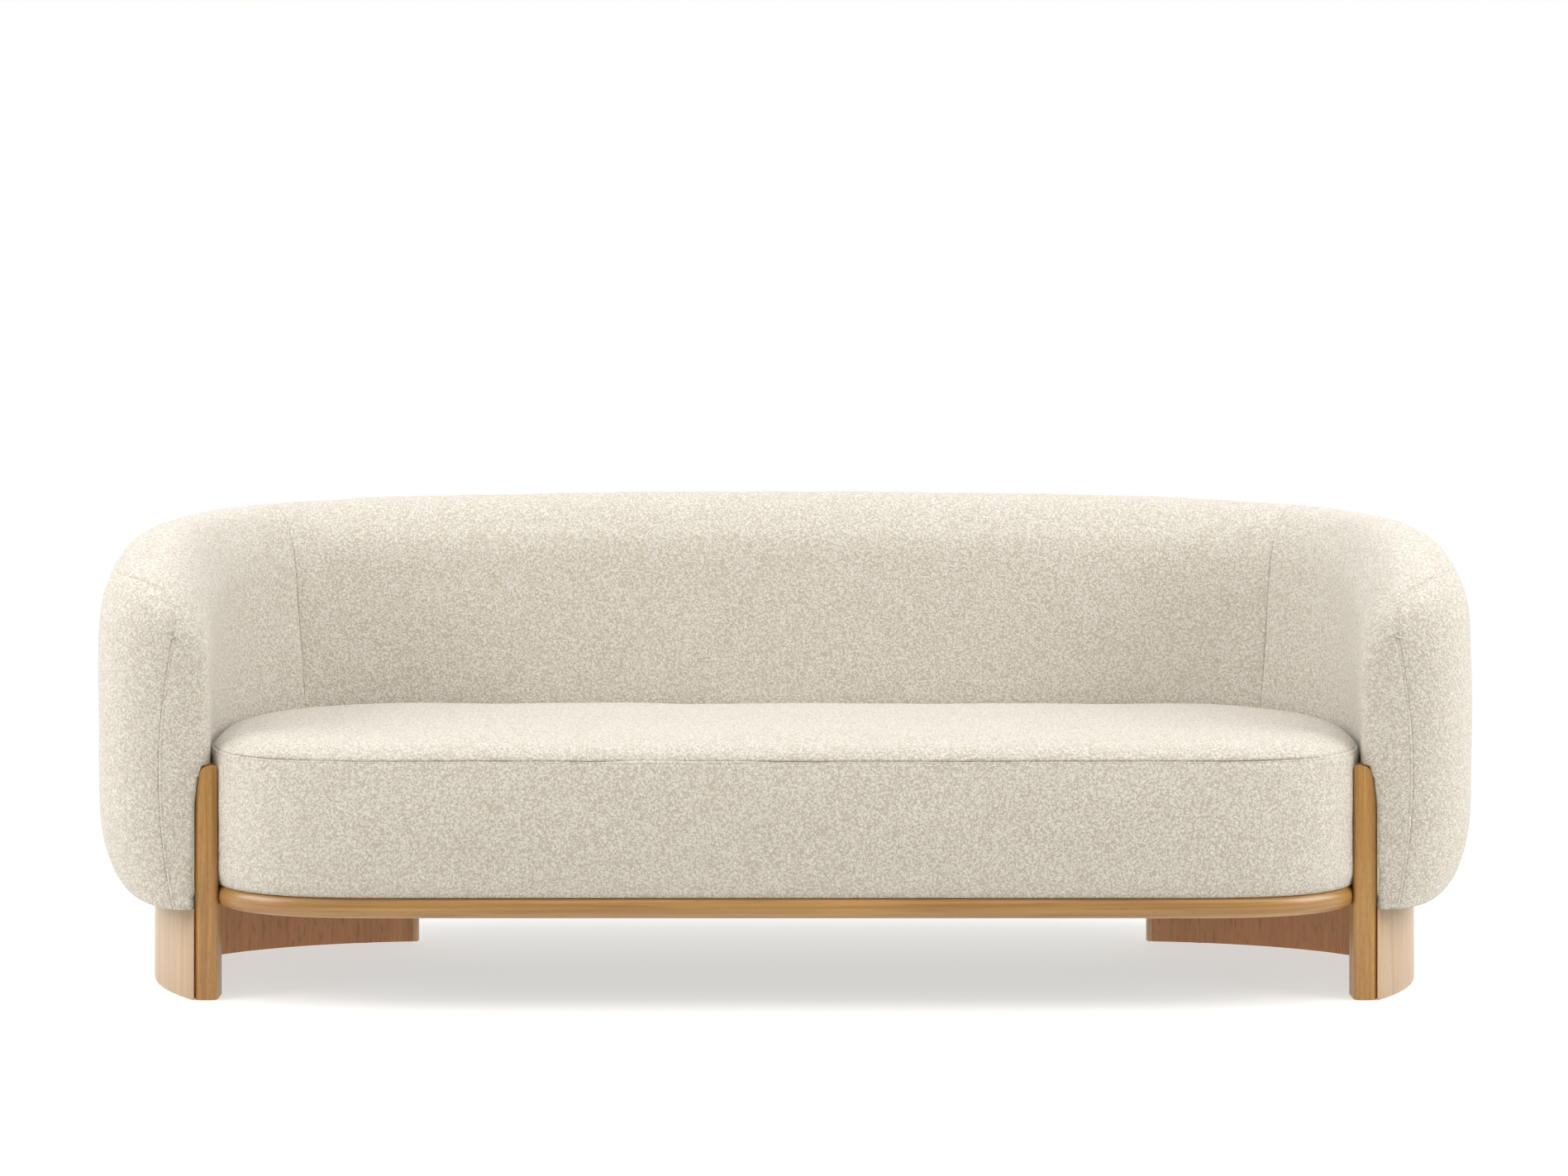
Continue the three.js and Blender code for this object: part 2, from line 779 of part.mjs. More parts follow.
const wholeRing = aroundOval(railRings());
const railJoint = postBack;
const far = oval.straightHalf * 3;
const frontSpace = block(
  new THREE.Vector3(-postInner + fit, -far, 0),
  new THREE.Vector3(postInner - fit, railJoint - fit / 2, far),
);
const rearSpace = block(
  new THREE.Vector3(-far, railJoint + fit, 0),
  new THREE.Vector3(far, far, far),
);
const dowelHoles = [dowelRod(dowel.radius + fit, dowel.reach + fit)];
dowelHoles.push(mirrored(dowelHoles[0]));
add("front_rail", cut(keep(wholeRing, frontSpace), ...dowelHoles), materials.wood);
add("rear_base_rail", keep(wholeRing, rearSpace), materials.plywood);

// Steel angles under the ring, on the panels' inner faces
function makeBracket() {
  const angle = panelAngleAtX(oval.straightHalf + bracket.past);
  const p = panelPoint(angle, -bracket.stand);
  const q = panelPoint(angle, 0);
  const half = bracket.width / 2;
  const top = rail.bottom - fit;
  const shape = new THREE.Shape();
  shape.moveTo(0, top);
  shape.lineTo(-bracket.leg, top);
  shape.lineTo(-bracket.leg, top - bracket.thickness);
  shape.lineTo(-bracket.thickness - bracket.radius, top - bracket.thickness);
  shape.quadraticCurveTo(
    -bracket.thickness,
    top - bracket.thickness,
    -bracket.thickness,
    top - bracket.thickness - bracket.radius,
  );
  shape.lineTo(-bracket.thickness, top - bracket.leg);
  shape.lineTo(0, top - bracket.leg);
  const body = extrude(shape, -half, half);
  body.rotateX(Math.PI / 2);
  body.rotateZ(Math.atan2(q.y - p.y, q.x - p.x));
  body.translate(p.x, p.y, 0);
  return body;
}

addPair("ring_bracket", makeBracket(), materials.steel);

// Seat
const seatFrameTop = seatBottom + seatFrame.height;
const springSpacing = 2 * (oval.straightHalf + spring.endPast) / spring.rows;
const springTop = seatFrameTop + fit + spring.wire + spring.arch;
const padTop = springTop + fit + pad.thickness;

// Rings up the seat's side, each with its inset and bulge
function bandRings(inset, low, high) {
  return seatShares.bandRings.map((share) => {
    const z = low + (high - low) * share;
    const h = (z - seatBottom) / (seat.seam - seatBottom);
    const tuck = seat.tuck * Math.max(1 - (z - seatBottom) / seat.tuckHeight, 0);
    const bulge = seat.frontBulge * Math.sin(Math.PI * Math.min(h, 1) ** seatShares.bulgeLow);
    return ringAt(seat.sideGap + inset + tuck + (share === 1 ? cover.turnIn : 0), z, bulge);
  });
}

// A ring of the seat's top, drawn towards its middle line
function topRing(inset, share, z) {
  return ringAt(seat.sideGap + inset, z).map((p) => {
    const past = Math.max(Math.abs(p.x) - oval.straightHalf, 0);
    const within = Math.min(Math.abs(p.x), oval.straightHalf);
    return new THREE.Vector3(Math.sign(p.x) * (within + past * share), p.y * share, z);
  });
}

function topRings(inset, low) {
  return seatShares.topRings.map((share) => {
    const edge = (1 - share) * oval.depthHalf;
    const roll = quarter(1 - edge / seat.rollWidth, seatShares.rollFullness);
    const rise = seat.shoulderRise * roll + seat.crownRise * (1 - share ** 2);
    return topRing(inset + (share === 1 ? cover.turnIn : 0), share, low + rise);
  });
}

function makeBand() {
  const outer = bandRings(0, seatBottom, seat.seam - seamGap / 2);
  const inner = bandRings(cover.thickness, seatBottom, seat.seam - seamGap / 2);
  return cut(aroundOval([...outer, ...inner.reverse()]), ...postRooms);
}

function makeTopCover() {
  const outer = topRings(0, seat.seam + seamGap / 2);
  const inner = topRings(cover.thickness, seat.seam + seamGap / 2 - cover.thickness);
  inner[0].forEach((p) => {
    p.z = seat.seam + seamGap / 2;
  });
  return loft([...inner.reverse(), ...outer]);
}

function makeSeatFoam() {
  const inset = cover.thickness + foam.gap;
  const side = bandRings(inset, seatBottom, seat.seam - seamGap / 2);
  const top = topRings(inset, seat.seam + seamGap / 2 - inset).slice(1);
  const body = loft([...side, ...top]);
  const room = loft([
    ringAt(seatFrame.outerInset - foam.base, seatBottom - overrun),
    ringAt(seatFrame.outerInset - foam.base, padTop + fit),
  ]);
  return cut(body, room, ...postRooms);
}

add("seat_band_cover", makeBand(), materials.fabric);
add("seat_top_cover", makeTopCover(), materials.fabric);
add("seat_foam", makeSeatFoam(), materials.foam);

// A flat outline at an inset from the seat's side
function seatOutline(inset) {
  return new THREE.Shape(ringAt(inset, 0).map((p) => new THREE.Vector2(p.x, p.y)));
}

// The seat's frame: straight rails front and back, bent ones at the ends, and two cross rails
function makeSeatFrame() {
  const outer = seatOutline(seatFrame.outerInset);
  const hole = seatOutline(seatFrame.outerInset + seatFrame.thickness).getPoints().reverse();
  outer.holes.push(new THREE.Path(hole));
  const whole = extrude(outer, seatBottom, seatFrameTop);
  const joint = oval.straightHalf + seatFrame.jointPast;
  const zone = (x0, x1, y0, y1) => block(new THREE.Vector3(x0, y0, 0), new THREE.Vector3(x1, y1, far));
  add("seat_rail_front", keep(whole, zone(-joint, joint, -far, 0)), materials.paleWood);
  add("seat_rail_back", keep(whole, zone(-joint, joint, 0, far)), materials.paleWood);
  addPair("seat_rail", keep(whole, zone(joint + fit, far, -far, far)), materials.paleWood);
  const reach = oval.depthHalf - seatFrame.outerInset - seatFrame.thickness - fit;
  const half = seatFrame.crossWidth / 2;
  addPair("seat_cross_rail", block(
    new THREE.Vector3(springSpacing - half, -reach, seatBottom),
    new THREE.Vector3(springSpacing + half, reach, seatBottom + seatFrame.crossHeight),
  ), materials.paleWood);
}

makeSeatFrame();

// A sinuous spring: one wire that winds from the front rail to the back rail and bows up a little
function makeSpring(x) {
  const reach = oval.depthHalf - seatFrame.outerInset - seatFrame.thickness / 2;
  const steps = Math.round(spring.turns * spring.steps);
  const line = spread(0, 1, steps).map((share) => new THREE.Vector3(
    x + (spring.width / 2) * Math.sin(share * spring.turns * Math.PI * 2),
    reach * (2 * share - 1),
    seatFrameTop + fit + spring.wire / 2 + spring.arch * Math.sin(share * Math.PI),
  ));
  const up = new THREE.Vector3(0, 0, 1);
  return loft(line.map((p, i) => {
    const ahead = line[Math.min(i + 1, steps)].clone().sub(line[Math.max(i - 1, 0)]).normalize();
    const across = new THREE.Vector3().crossVectors(ahead, up).normalize();
    const over = new THREE.Vector3().crossVectors(across, ahead);
    return spread(0, Math.PI * 2, spring.sides).slice(0, -1).map((angle) => p.clone()
      .addScaledVector(across, (spring.wire / 2) * Math.cos(angle))
      .addScaledVector(over, (spring.wire / 2) * Math.sin(angle)));
  }));
}

for (let i = 0; i < spring.rows; i += 1) {
  add(`seat_spring_${i + 1}`, makeSpring((i - (spring.rows - 1) / 2) * springSpacing), materials.steel);
}

add("seat_spring_pad", extrude(seatOutline(pad.inset), padTop - pad.thickness, padTop), materials.felt);
add(
  "seat_dust_cover",
  extrude(
    seatOutline(seatDust.inset + seat.sideGap),
    seatBottom - fit - seatDust.thickness,
    seatBottom - fit,
  ),
  materials.dust,
);

// Shell covers
const armAt = (inset) => armDistances(inset);
const backAt = () => backDistances();
const coverEnd = crestIndex * 2 + 2;
const innerArm = coverPanel(armAt, 0, coverSeamIndex, { high: true, start: true });
const outerArm = coverPanel(armAt, coverSeamIndex, coverEnd, { low: true, start: true });
addPair("inner_arm_cover", cut(innerArm, postRoom), materials.fabric);
addPair("outer_arm_cover", outerArm, materials.fabric);
add(
  "inner_back_cover",
  coverPanel(backAt, 0, coverSeamIndex, { high: true, start: true, end: true }),
  materials.fabric,
);
add(
  "outer_back_cover",
  coverPanel(backAt, coverSeamIndex, coverEnd, { low: true, start: true, end: true }),
  materials.fabric,
);

// Flat boards that follow the shell's path between two distances out from it
function board(distances, inner, outerSpare, low, high) {
  return loft(distances.map((distance) => {
    const at = station(distance);
    const size = sectionSizes(at, 0);
    const outer = size.thickness - shell.underWidth - outerSpare;
    return [[inner, low], [outer, low], [outer, high], [inner, high]].map(([out, z]) => (
      place(at, drawIn(size, out, z, out === inner), z)
    ));
  }));
}

function wholePath(past) {
  const half = [
    ...backDistances(cornerSeam).filter((d) => d > 0),
    ...spread(cornerSeam, pathLength, counts.arm).slice(1),
  ];
  const ends = spread(0, past, counts.end).slice(1).map((d) => pathLength + d);
  const right = [...half, ...ends];
  return [...[...right].reverse().map((d) => -d), 0, ...right];
}

const formerBottom = shellBottom + former.above;
const formerTop = formerBottom + former.thickness;
const bolts = [boltPlaces.front, boltPlaces.rear];
const boltHoles = bolts.flatMap((p) => [boltHole(p), mirrored(boltHole(p))]);
const baseBoard = board(
  wholePath(former.endPast),
  former.inner,
  former.outerSpare,
  formerBottom,
  formerTop,
);
add("shell_base_former", cut(baseBoard, ...postRooms, ...boltHoles), materials.plywood);

const dustBoard = board(
  wholePath(former.endPast),
  shell.margin + seamGap,
  shell.margin + seamGap,
  shellBottom + shellDust.above,
  shellBottom + shellDust.above + shellDust.thickness,
);
add("shell_dust_cover", cut(dustBoard, ...postRooms, ...boltHoles), materials.dust);

// The frame's section at a station: a band between two distances out, leaning with the back
function frameRing(distance, spare, low, drop) {
  const at = station(distance);
  const size = sectionSizes(at, 0);
  const top = size.top - frame.top - drop;
  const heights = [low, seatShoulder, top];
  const side = (out) => heights.map((z) => place(at, out + leanAt(size.lean, z), z));
  return [...side(frame.inner - spare), ...side(frame.outer + spare).reverse()];
}

// The curved board along the top of the frame, or with spare round it the room that it takes
function topBoard(below = 0, above = 0, beside = 0) {
  return loft(wholePath(frame.endPast).map((distance) => {
    const at = station(distance);
    const size = sectionSizes(at, 0);
    const high = size.top - frame.top + above;
    const low = size.top - frame.top - frame.board - below;
    const inner = frame.inner - beside;
    const outer = frame.outer + beside;
    const corners = [[inner, low], [outer, low], [outer, high], [inner, high]];
    return corners.map(([out, z]) => place(at, out + leanAt(size.lean, z), z));
  }));
}

const topFormer = topBoard();
add("shell_top_former", topFormer, materials.plywood);
const topFormerRooms = [
  topFormer.clone().translate(0, 0, -fit),
  topBoard(fit, overrun, overrun),
];

function makeUpright(distance) {
  const half = frame.upright / 2;
  const rings = spread(distance - half, distance + half, 2).map((d) => (
    frameRing(d, -frame.clear / 4, formerTop + fit, frame.board / 2)
  ));
  return cut(loft(rings), ...topFormerRooms);
}

add("back_upright_middle", makeUpright(0), materials.paleWood);
["back", "shoulder", "corner", "arm"].forEach((name) => {
  addPair(`${name}_upright`, makeUpright(pathLength * uprightShares[name]), materials.paleWood);
});

// Foam round the frame, open below for the frame to stand in
function foamRing(distance, inset) {
  return section(station(distance), inset).slice(1, -1);
}

const belowFoam = block(
  new THREE.Vector3(-far, -far, 0),
  new THREE.Vector3(far, far, formerTop + foam.base),
);

function frameRoom(from, to) {
  const inside = wholePath(frame.endPast + frame.clear).filter((d) => d > from && d < to);
  const ring = (d) => frameRing(d, frame.clear, formerBottom - overrun, -frame.clear);
  return loft([from, ...inside, to].map(ring));
}

function makeShellFoam(distances, inset) {
  const body = loft(distances.map((distance) => foamRing(distance, inset)));
  const last = Math.min(Math.max(...distances) + overrun, pathLength + frame.endPast + frame.clear);
  const first = Math.max(Math.min(...distances) - overrun, -last);
  return cut(body, frameRoom(first, last), belowFoam);
}

const foamInset = cover.thickness + foam.gap;
const armFoam = makeShellFoam(armDistances(foamInset, cornerSeam + foam.gap).slice(0, -1), foamInset);
const boltHeads = bolts.map((p) => (
  rod(bolt.head + fit * 2, formerTop - overrun, formerTop + fit * 2 + bolt.headHeight, p.x, p.y)
));
addPair("arm_foam", cut(armFoam, postRoom, ...boltHeads), materials.foam);
const backFoam = makeShellFoam(backDistances(cornerSeam - foam.gap), foamInset);
add("back_foam", cut(backFoam, ...boltHeads, ...boltHeads.map(mirrored)), materials.foam);

// Bolts that pull the shell down on the panels
function makeBolt(p) {
  const seatZ = formerTop + fit;
  const profile = [
    [0, panel.top - bolt.bite],
    [bolt.shank, panel.top - bolt.bite],
    [bolt.shank, seatZ],
    [bolt.head, seatZ],
    [bolt.head, seatZ + bolt.headHeight],
    [0, seatZ + bolt.headHeight],
  ].map(([r, z]) => new THREE.Vector2(r, z));
  const body = new THREE.LatheGeometry(profile, 10);
  body.rotateX(Math.PI / 2);
  body.translate(p.x, p.y, 0);
  return body;
}

Object.entries(boltPlaces).forEach(([name, p]) => addPair(`${name}_leg_bolt`, makeBolt(p), materials.steel));

// The whole is moved so that its origin is the middle of its box, on the floor
const frontY = -oval.depthHalf - seat.frontBulge + seat.sideGap;
const rearLean = leanAt(shell.lean, shell.backHeight - shell.dome) * shellShares.outerLean;
const rearY = oval.depthHalf + shell.backThickness + rearLean;
sofa.position.y = -(frontY + rearY) / 2;

export default sofa;
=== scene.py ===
import json
import math

import bpy
import numpy as np
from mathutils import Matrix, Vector


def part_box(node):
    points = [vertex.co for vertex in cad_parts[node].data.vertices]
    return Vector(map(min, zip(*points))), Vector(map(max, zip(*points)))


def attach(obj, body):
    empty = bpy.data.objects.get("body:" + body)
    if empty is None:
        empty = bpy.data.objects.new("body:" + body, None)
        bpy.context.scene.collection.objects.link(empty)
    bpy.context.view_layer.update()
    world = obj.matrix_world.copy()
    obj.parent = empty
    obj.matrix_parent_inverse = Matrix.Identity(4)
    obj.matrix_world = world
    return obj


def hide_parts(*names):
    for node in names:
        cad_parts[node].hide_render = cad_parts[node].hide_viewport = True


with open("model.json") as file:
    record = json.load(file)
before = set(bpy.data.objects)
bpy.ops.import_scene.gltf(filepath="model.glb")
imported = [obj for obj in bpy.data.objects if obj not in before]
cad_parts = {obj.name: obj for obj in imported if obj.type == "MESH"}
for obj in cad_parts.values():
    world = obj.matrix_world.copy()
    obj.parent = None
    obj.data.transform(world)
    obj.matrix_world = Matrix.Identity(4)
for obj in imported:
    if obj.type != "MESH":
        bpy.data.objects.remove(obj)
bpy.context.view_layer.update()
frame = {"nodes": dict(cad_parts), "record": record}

# Camera, as worked out from the photograph: pixels of its frame, and metres
PHOTO_WIDTH = 1897
PHOTO_HEIGHT = 1423
SENSOR = 36.0
FOCAL_PX = 4027.0
PRINCIPAL = (905.3, 335.0)
CAMERA_AT = (-0.060, -5.626, 1.160)

cam_data = bpy.data.cameras.new("camera")
cam_data.sensor_width = SENSOR
cam_data.lens = FOCAL_PX / PHOTO_WIDTH * SENSOR
cam_data.shift_x = (PHOTO_WIDTH / 2 - PRINCIPAL[0]) / PHOTO_WIDTH
cam_data.shift_y = (PRINCIPAL[1] - PHOTO_HEIGHT / 2) / PHOTO_WIDTH
camera = bpy.data.objects.new("camera", cam_data)
camera.location = CAMERA_AT
camera.rotation_euler = (math.radians(90), 0, 0)
bpy.context.scene.collection.objects.link(camera)
bpy.context.scene.camera = camera
bpy.context.scene.view_settings.view_transform = "Standard"
bpy.context.scene.view_settings.look = "None"

# Sizes in millimetres, the same as the CAD's named sizes, in the frame whose origin is the oval's middle
MM = 1000.0
FRONT_Y = -185.0
SHIFT_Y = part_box("left_front_post")[0].y * MM - FRONT_Y

# The oval's half lengths; front and back are the exponents of its ends
OVAL = {"straight": 600.0, "reach": 340.0, "depth": 287.0, "front": 3.0, "back": 2.3}
SHELL = {
    # Heights above the floor, thicknesses, and the room under the shell's outer edge
    "bottom": 148.0, "side": 185.0, "back": 212.0, "arm_top": 700.0, "back_top": 777.0, "sag": 27.0,
    "dome": 118.0, "lean": 60.0, "under_width": 80.0, "under_height": 160.0, "margin": 14.0,
    # Where the arms begin to close, how far they reach and drop, their front seam, and the corner's seam
    "closing_y": -45.0, "closing": 148.0, "drop": 64.0, "seam": 45.0, "bow": 23.0, "corner_x": 825.0,
    # Exponents of the curves
    "rise": 8.5, "inner_full": 2.3, "outer_full": 2.9, "under_full": 2.1,
    "inner_close": 4.2, "outer_close": 2.0, "top_close": 2.5,
    # Shares, and places on the dome, where 0 is its inner foot, 1 its crest and 2 its outer foot
    "slope": 0.6, "outer_lean": 0.35, "blend_turn": 0.35, "seam_turn": 1.36, "tip_turn": 0.86,
}
SEAT = {"bottom": 182.4, "seam": 399.0, "shoulder": 420.0, "crown": 425.0, "bulge": 11.0, "tuck": 6.0,
        "tuck_height": 24.0, "gap": 1.2, "roll": 46.0, "below": 9.0, "seam_gap": 0.3}
POST = {"inner": 911.0, "width": 37.0, "back": FRONT_Y + 46.0, "top": 375.0, "drop": 86.0, "in": 12.0}
RAIL = {"bottom": 149.0, "height": 33.0, "nose": 14.0, "depth": 52.0, "gap": 0.3}

# Counts of points on fine lines and steps up a section, and the pitches of the covers' grids in millimetres
STRAIGHT_POINTS = 400
PATH_POINTS = 20001
LINE_POINTS = 40001
CLOSING_POINTS = 3001
TOP_POINTS = 3000
ROUGH_STEPS = 8
FINE_STEPS = 60
PITCH = 8.0
CLOSING_PITCH = PITCH * 0.8
SEAM_STEPS = np.array([0, 0.9, 1.8, 2.7, 3.6, 4.5, 5.4, 6.6, 8.2, 10.5, 13.5, 18.0])
FAR_FROM_SEAMS = 500.0
TINY = 1e-9


def ease(x):
    x = np.clip(x, 0, 1)
    return x * x * (3 - 2 * x)


def quarter(x, n):
    x = np.clip(x, 0, 1)
    return (1 - x ** n) ** (1 / n)


def unit(v):
    return v / np.maximum(np.linalg.norm(v, axis=-1, keepdims=True), TINY)


def oval_point(angle):
    c, s = np.cos(angle), np.sin(angle)
    n = np.where(s < 0, OVAL["front"], OVAL["back"])
    x = OVAL["straight"] + OVAL["reach"] * np.abs(c) ** (2 / n)
    return x, OVAL["depth"] * np.sign(s) * np.abs(s) ** (2 / n)


def oval_normal(x, y):
    n = np.where(y < 0, OVAL["front"], OVAL["back"]) - 1
    nx = (np.maximum(x - OVAL["straight"], 0) / OVAL["reach"]) ** n / OVAL["reach"]
    ny = np.sign(y) * (np.abs(y) / OVAL["depth"]) ** n / OVAL["depth"]
    length = np.hypot(nx, ny)
    return nx / length, ny / length


def oval_reach(y):
    n = np.where(y < 0, OVAL["front"], OVAL["back"])
    share = np.clip(np.abs(y) / OVAL["depth"], 0, 1)
    return OVAL["straight"] + OVAL["reach"] * (1 - share ** n) ** (1 / n)


def half_oval(last_angle, count):
    """Fine points along the oval's right half, from the middle of its back to an angle."""
    x, y = oval_point(np.linspace(math.pi / 2, last_angle, count))
    straight = np.linspace(0, OVAL["straight"], STRAIGHT_POINTS)[:-1]
    return np.r_[straight, x], np.r_[np.full(len(straight), OVAL["depth"]), y]


# The shell's path as a fine line with its length, from the middle of the back to where the arm closes
END_ANGLE = -math.asin((-SHELL["closing_y"] / OVAL["depth"]) ** (OVAL["front"] / 2))
PATH = np.array(half_oval(END_ANGLE, PATH_POINTS))
PATH_AT = np.r_[0, np.cumsum(np.hypot(*np.diff(PATH, axis=1)))]
PATH_LENGTH = PATH_AT[-1]
OUTWARD = slice(0, int(np.argmax(PATH[0])) + 1)
CORNER_AT = float(np.interp(SHELL["corner_x"], PATH[0][OUTWARD], PATH_AT[OUTWARD]))
ARM_LENGTH = PATH_LENGTH - CORNER_AT


def station(d):
    """Where the shell's section stands at distances along the path, and straight on past its end."""
    side = np.where(d < 0, -1.0, 1.0)
    away = np.abs(d)
    past = np.maximum(away - PATH_LENGTH, 0)
    on = np.minimum(away, PATH_LENGTH)
    x, y = np.interp(on, PATH_AT, PATH[0]), np.interp(on, PATH_AT, PATH[1])
    nx, ny = oval_normal(x, y)
    x, y = x + ny * past, y - nx * past
    follow = np.where(past > 0, oval_reach(y) - x, 0)
    return {"side": side, "share": on / PATH_LENGTH, "past": past, "follow": follow,
            "x": x, "y": y, "nx": nx, "ny": ny}


def section(d, part, steps):
    """Fine lines of the shell's section at the stations d, as distances out from the path and heights."""
    at = {k: v[:, None] for k, v in station(d).items()}
    s = SHELL
    depth = ease(at["y"] / OVAL["depth"])
    along = at["share"] + s["slope"] * at["past"] / PATH_LENGTH
    fall = s["back_top"] - s["arm_top"] - s["sag"]
    crest = s["back_top"] - s["sag"] * along ** 2 - fall * along ** s["rise"]
    closing = np.minimum(at["past"] / s["closing"], 1)
    thick = s["side"] + (s["back"] - s["side"]) * depth
    top = crest - s["drop"] * (1 - quarter(closing, s["top_close"]))
    lean = s["lean"] * depth
    start = top - s["dome"]
    under_top = s["bottom"] + s["under_height"]

    def lean_at(z):
        return lean * np.maximum(z - SEAT["shoulder"], 0) / (s["back_top"] - SEAT["shoulder"])

    def inner_at(z):
        return at["follow"] + lean_at(z)

    def outer_at(z):
        under = 1 - quarter(np.maximum((under_top - z) / s["under_height"], 0), s["under_full"])
        return thick + lean_at(z) * s["outer_lean"] - s["under_width"] * under

    def domed(turn):
        share = np.sin(np.minimum(turn, 2 - turn) * math.pi / 2)
        z = start + s["dome"] * share
        inner, outer = inner_at(z), outer_at(z)
        middle = (inner + outer) / 2
        side = np.where(turn < 1, inner, outer)
        full = np.where(turn < 1, s["inner_full"], s["outer_full"])
        return middle + (side - middle) * quarter(share, full), z, turn

    # The seam between the covers runs along the outer side, and over the crest to the arm's front
    seam = s["seam_turn"] - (s["seam_turn"] - s["tip_turn"]) * ease(closing)
    one = np.ones_like(at["x"])
    rows = []
    if part == "inner":
        rows.append((inner_at(s["bottom"] * one) + s["margin"], s["bottom"] * one, 0 * one))
        for h in np.linspace(0, 1, steps, endpoint=False):
            z = s["bottom"] + (start - s["bottom"]) * h
            rows.append((inner_at(z), z, 0 * one))
        for h in np.linspace(0, 1, steps * 3):
            rows.append(domed(seam * h))
    else:
        for h in np.linspace(0, 1, steps, endpoint=False):
            rows.append(domed(seam + (2 - seam) * h))
        for h in np.linspace(0, 1, steps, endpoint=False):
            z = start + (under_top - start) * h
            rows.append((outer_at(z), z, 2 * one))
        for h in np.linspace(0, 1, steps * 2):
            z = under_top - s["under_height"] * np.sin(h * math.pi / 2) * one
            rows.append((outer_at(z), z, 2 * one))
        rows.append((outer_at(s["bottom"] * one) - s["margin"], s["bottom"] * one, 2 * one))
    out, z, turn = (np.concatenate([r[k] for r in rows], 1) for k in range(3))

    # Past the path's end the section draws in to the seam down the arm's front
    middle, half = (s["bottom"] + top) / 2, (top - s["bottom"]) / 2
    edge = s["seam"] + s["bow"] * (1 - ((z - middle) / half) ** 2)
    outward = ease((turn - s["blend_turn"]) / (s["seam_turn"] - s["blend_turn"]))
    draw = quarter(closing, s["inner_close"]) * (1 - outward) + quarter(closing, s["outer_close"]) * outward
    out = np.where(closing > 0, edge + (out - edge) * draw, out)
    return at, out, z


def fine_spans(spans):
    """Distances through spans of (start, end, pitch), one after the other."""
    runs = [np.linspace(a, b, max(int(round((b - a) / pitch)), 1) + 1)[:-1] for a, b, pitch in spans]
    return np.r_[tuple(runs) + (spans[-1][1],)]


def resample(out, z, where):
    """Points at shares `where` of each line's own length."""
    step = np.hypot(np.diff(out, axis=1), np.diff(z, axis=1))
    length = np.concatenate([np.zeros((len(out), 1)), np.cumsum(step, 1)], 1)
    length /= length[:, -1:]
    return (np.array([np.interp(where, a, b) for a, b in zip(length, out)]),
            np.array([np.interp(where, a, b) for a, b in zip(length, z)]))


def spacing(length, pitch, fine_low=False, fine_high=False):
    """Distances from 0 to length, closer together beside a seam."""
    low = SEAM_STEPS if fine_low else np.array([0.0])
    high = length - SEAM_STEPS[::-1] if fine_high else np.array([length])
    count = max(int((high[0] - low[-1]) / pitch), 2)
    return np.r_[low, np.linspace(low[-1], high[0], count + 1)[1:-1], high]


# The strip beside the post where the inner arm cover's grid is finer: from `in` past the post's inner face to
# `out` past its outer face, at one height
BESIDE_POST = {"in": 18.0, "out": 7.0, "behind": 5.0, "height": 300.0, "pitch": 1.2}


def closing_stations(part, pitch):
    """How far past the path's end the stations lie: even along the closing curve, closer beside the post."""
    full = SHELL["inner_close"] if part == "inner" else SHELL["outer_close"]
    past = np.sin(np.linspace(0, math.pi / 2, CLOSING_POINTS)) ** (2 / full) * SHELL["closing"]
    at, out, z = section(PATH_LENGTH + past, part, ROUGH_STEPS)
    level = np.abs(z - BESIDE_POST["height"]).argmin(1)
    out = out[np.arange(len(out)), level]
    x, y = at["x"][:, 0] + at["nx"][:, 0] * out, at["y"][:, 0] + at["ny"][:, 0] * out
    step = np.hypot(np.diff(x), np.diff(y))
    from_x = POST["inner"] + BESIDE_POST["in"]
    to_x = POST["inner"] + POST["width"] + BESIDE_POST["out"]
    beside = (x > from_x) & (x < to_x) & (y < POST["back"] + BESIDE_POST["behind"]) & (part == "inner")
    length = np.r_[0, np.cumsum(step)]
    cost = np.r_[0, np.cumsum(step / np.where(beside[1:], BESIDE_POST["pitch"], pitch))]
    seam = length[-1] - SEAM_STEPS[::-1]
    last = np.interp(seam[0], length, cost)
    places = np.interp(np.linspace(0, last, int(math.ceil(last)) + 1)[:-1], cost, length)
    return np.interp(np.r_[places, seam], length, past)


# The filling's unevenness: each wave length has its share of these waves, and a seed picks where they start
RANDOM_SEED = 7
WAVE_COUNT = 90
RANDOM = np.random.default_rng(RANDOM_SEED)
WAVES = [(RANDOM.normal(size=3), RANDOM.uniform(0, 2 * math.pi)) for _ in range(WAVE_COUNT)]
WAVES_EACH = 14
SEED_STEP = 17
WAVE_SUM = 3.7
COVER_WAVES = [(230, 0.8), (110, 0.4), (46, 0.12)]
BAND_WAVES = [(260, 0.9), (120, 0.6), (48, 0.25), (20, 0.15)]
TOP_WAVES = [(300, 0.9), (140, 0.45), (52, 0.2)]
SEEDS = {"right": 3, "left": 4, "inner_back": 5, "outer_back": 6, "band": 8, "top": 11}


def unevenness(points, sizes, seed):
    """A smooth random height from sums of waves, for wave lengths in millimetres and their heights."""
    total = np.zeros(points.shape[:-1])
    for k, (length, height) in enumerate(sizes):
        for n in range(WAVES_EACH):
            way, phase = WAVES[(seed * SEED_STEP + k * WAVES_EACH + n) % len(WAVES)]
            way = way / np.linalg.norm(way)
            total += height / WAVE_SUM * np.sin(points @ way * (2 * math.pi / length) + phase + seed)
    return total


def grid_normals(points):
    return unit(np.cross(np.gradient(points, axis=0), np.gradient(points, axis=1)))


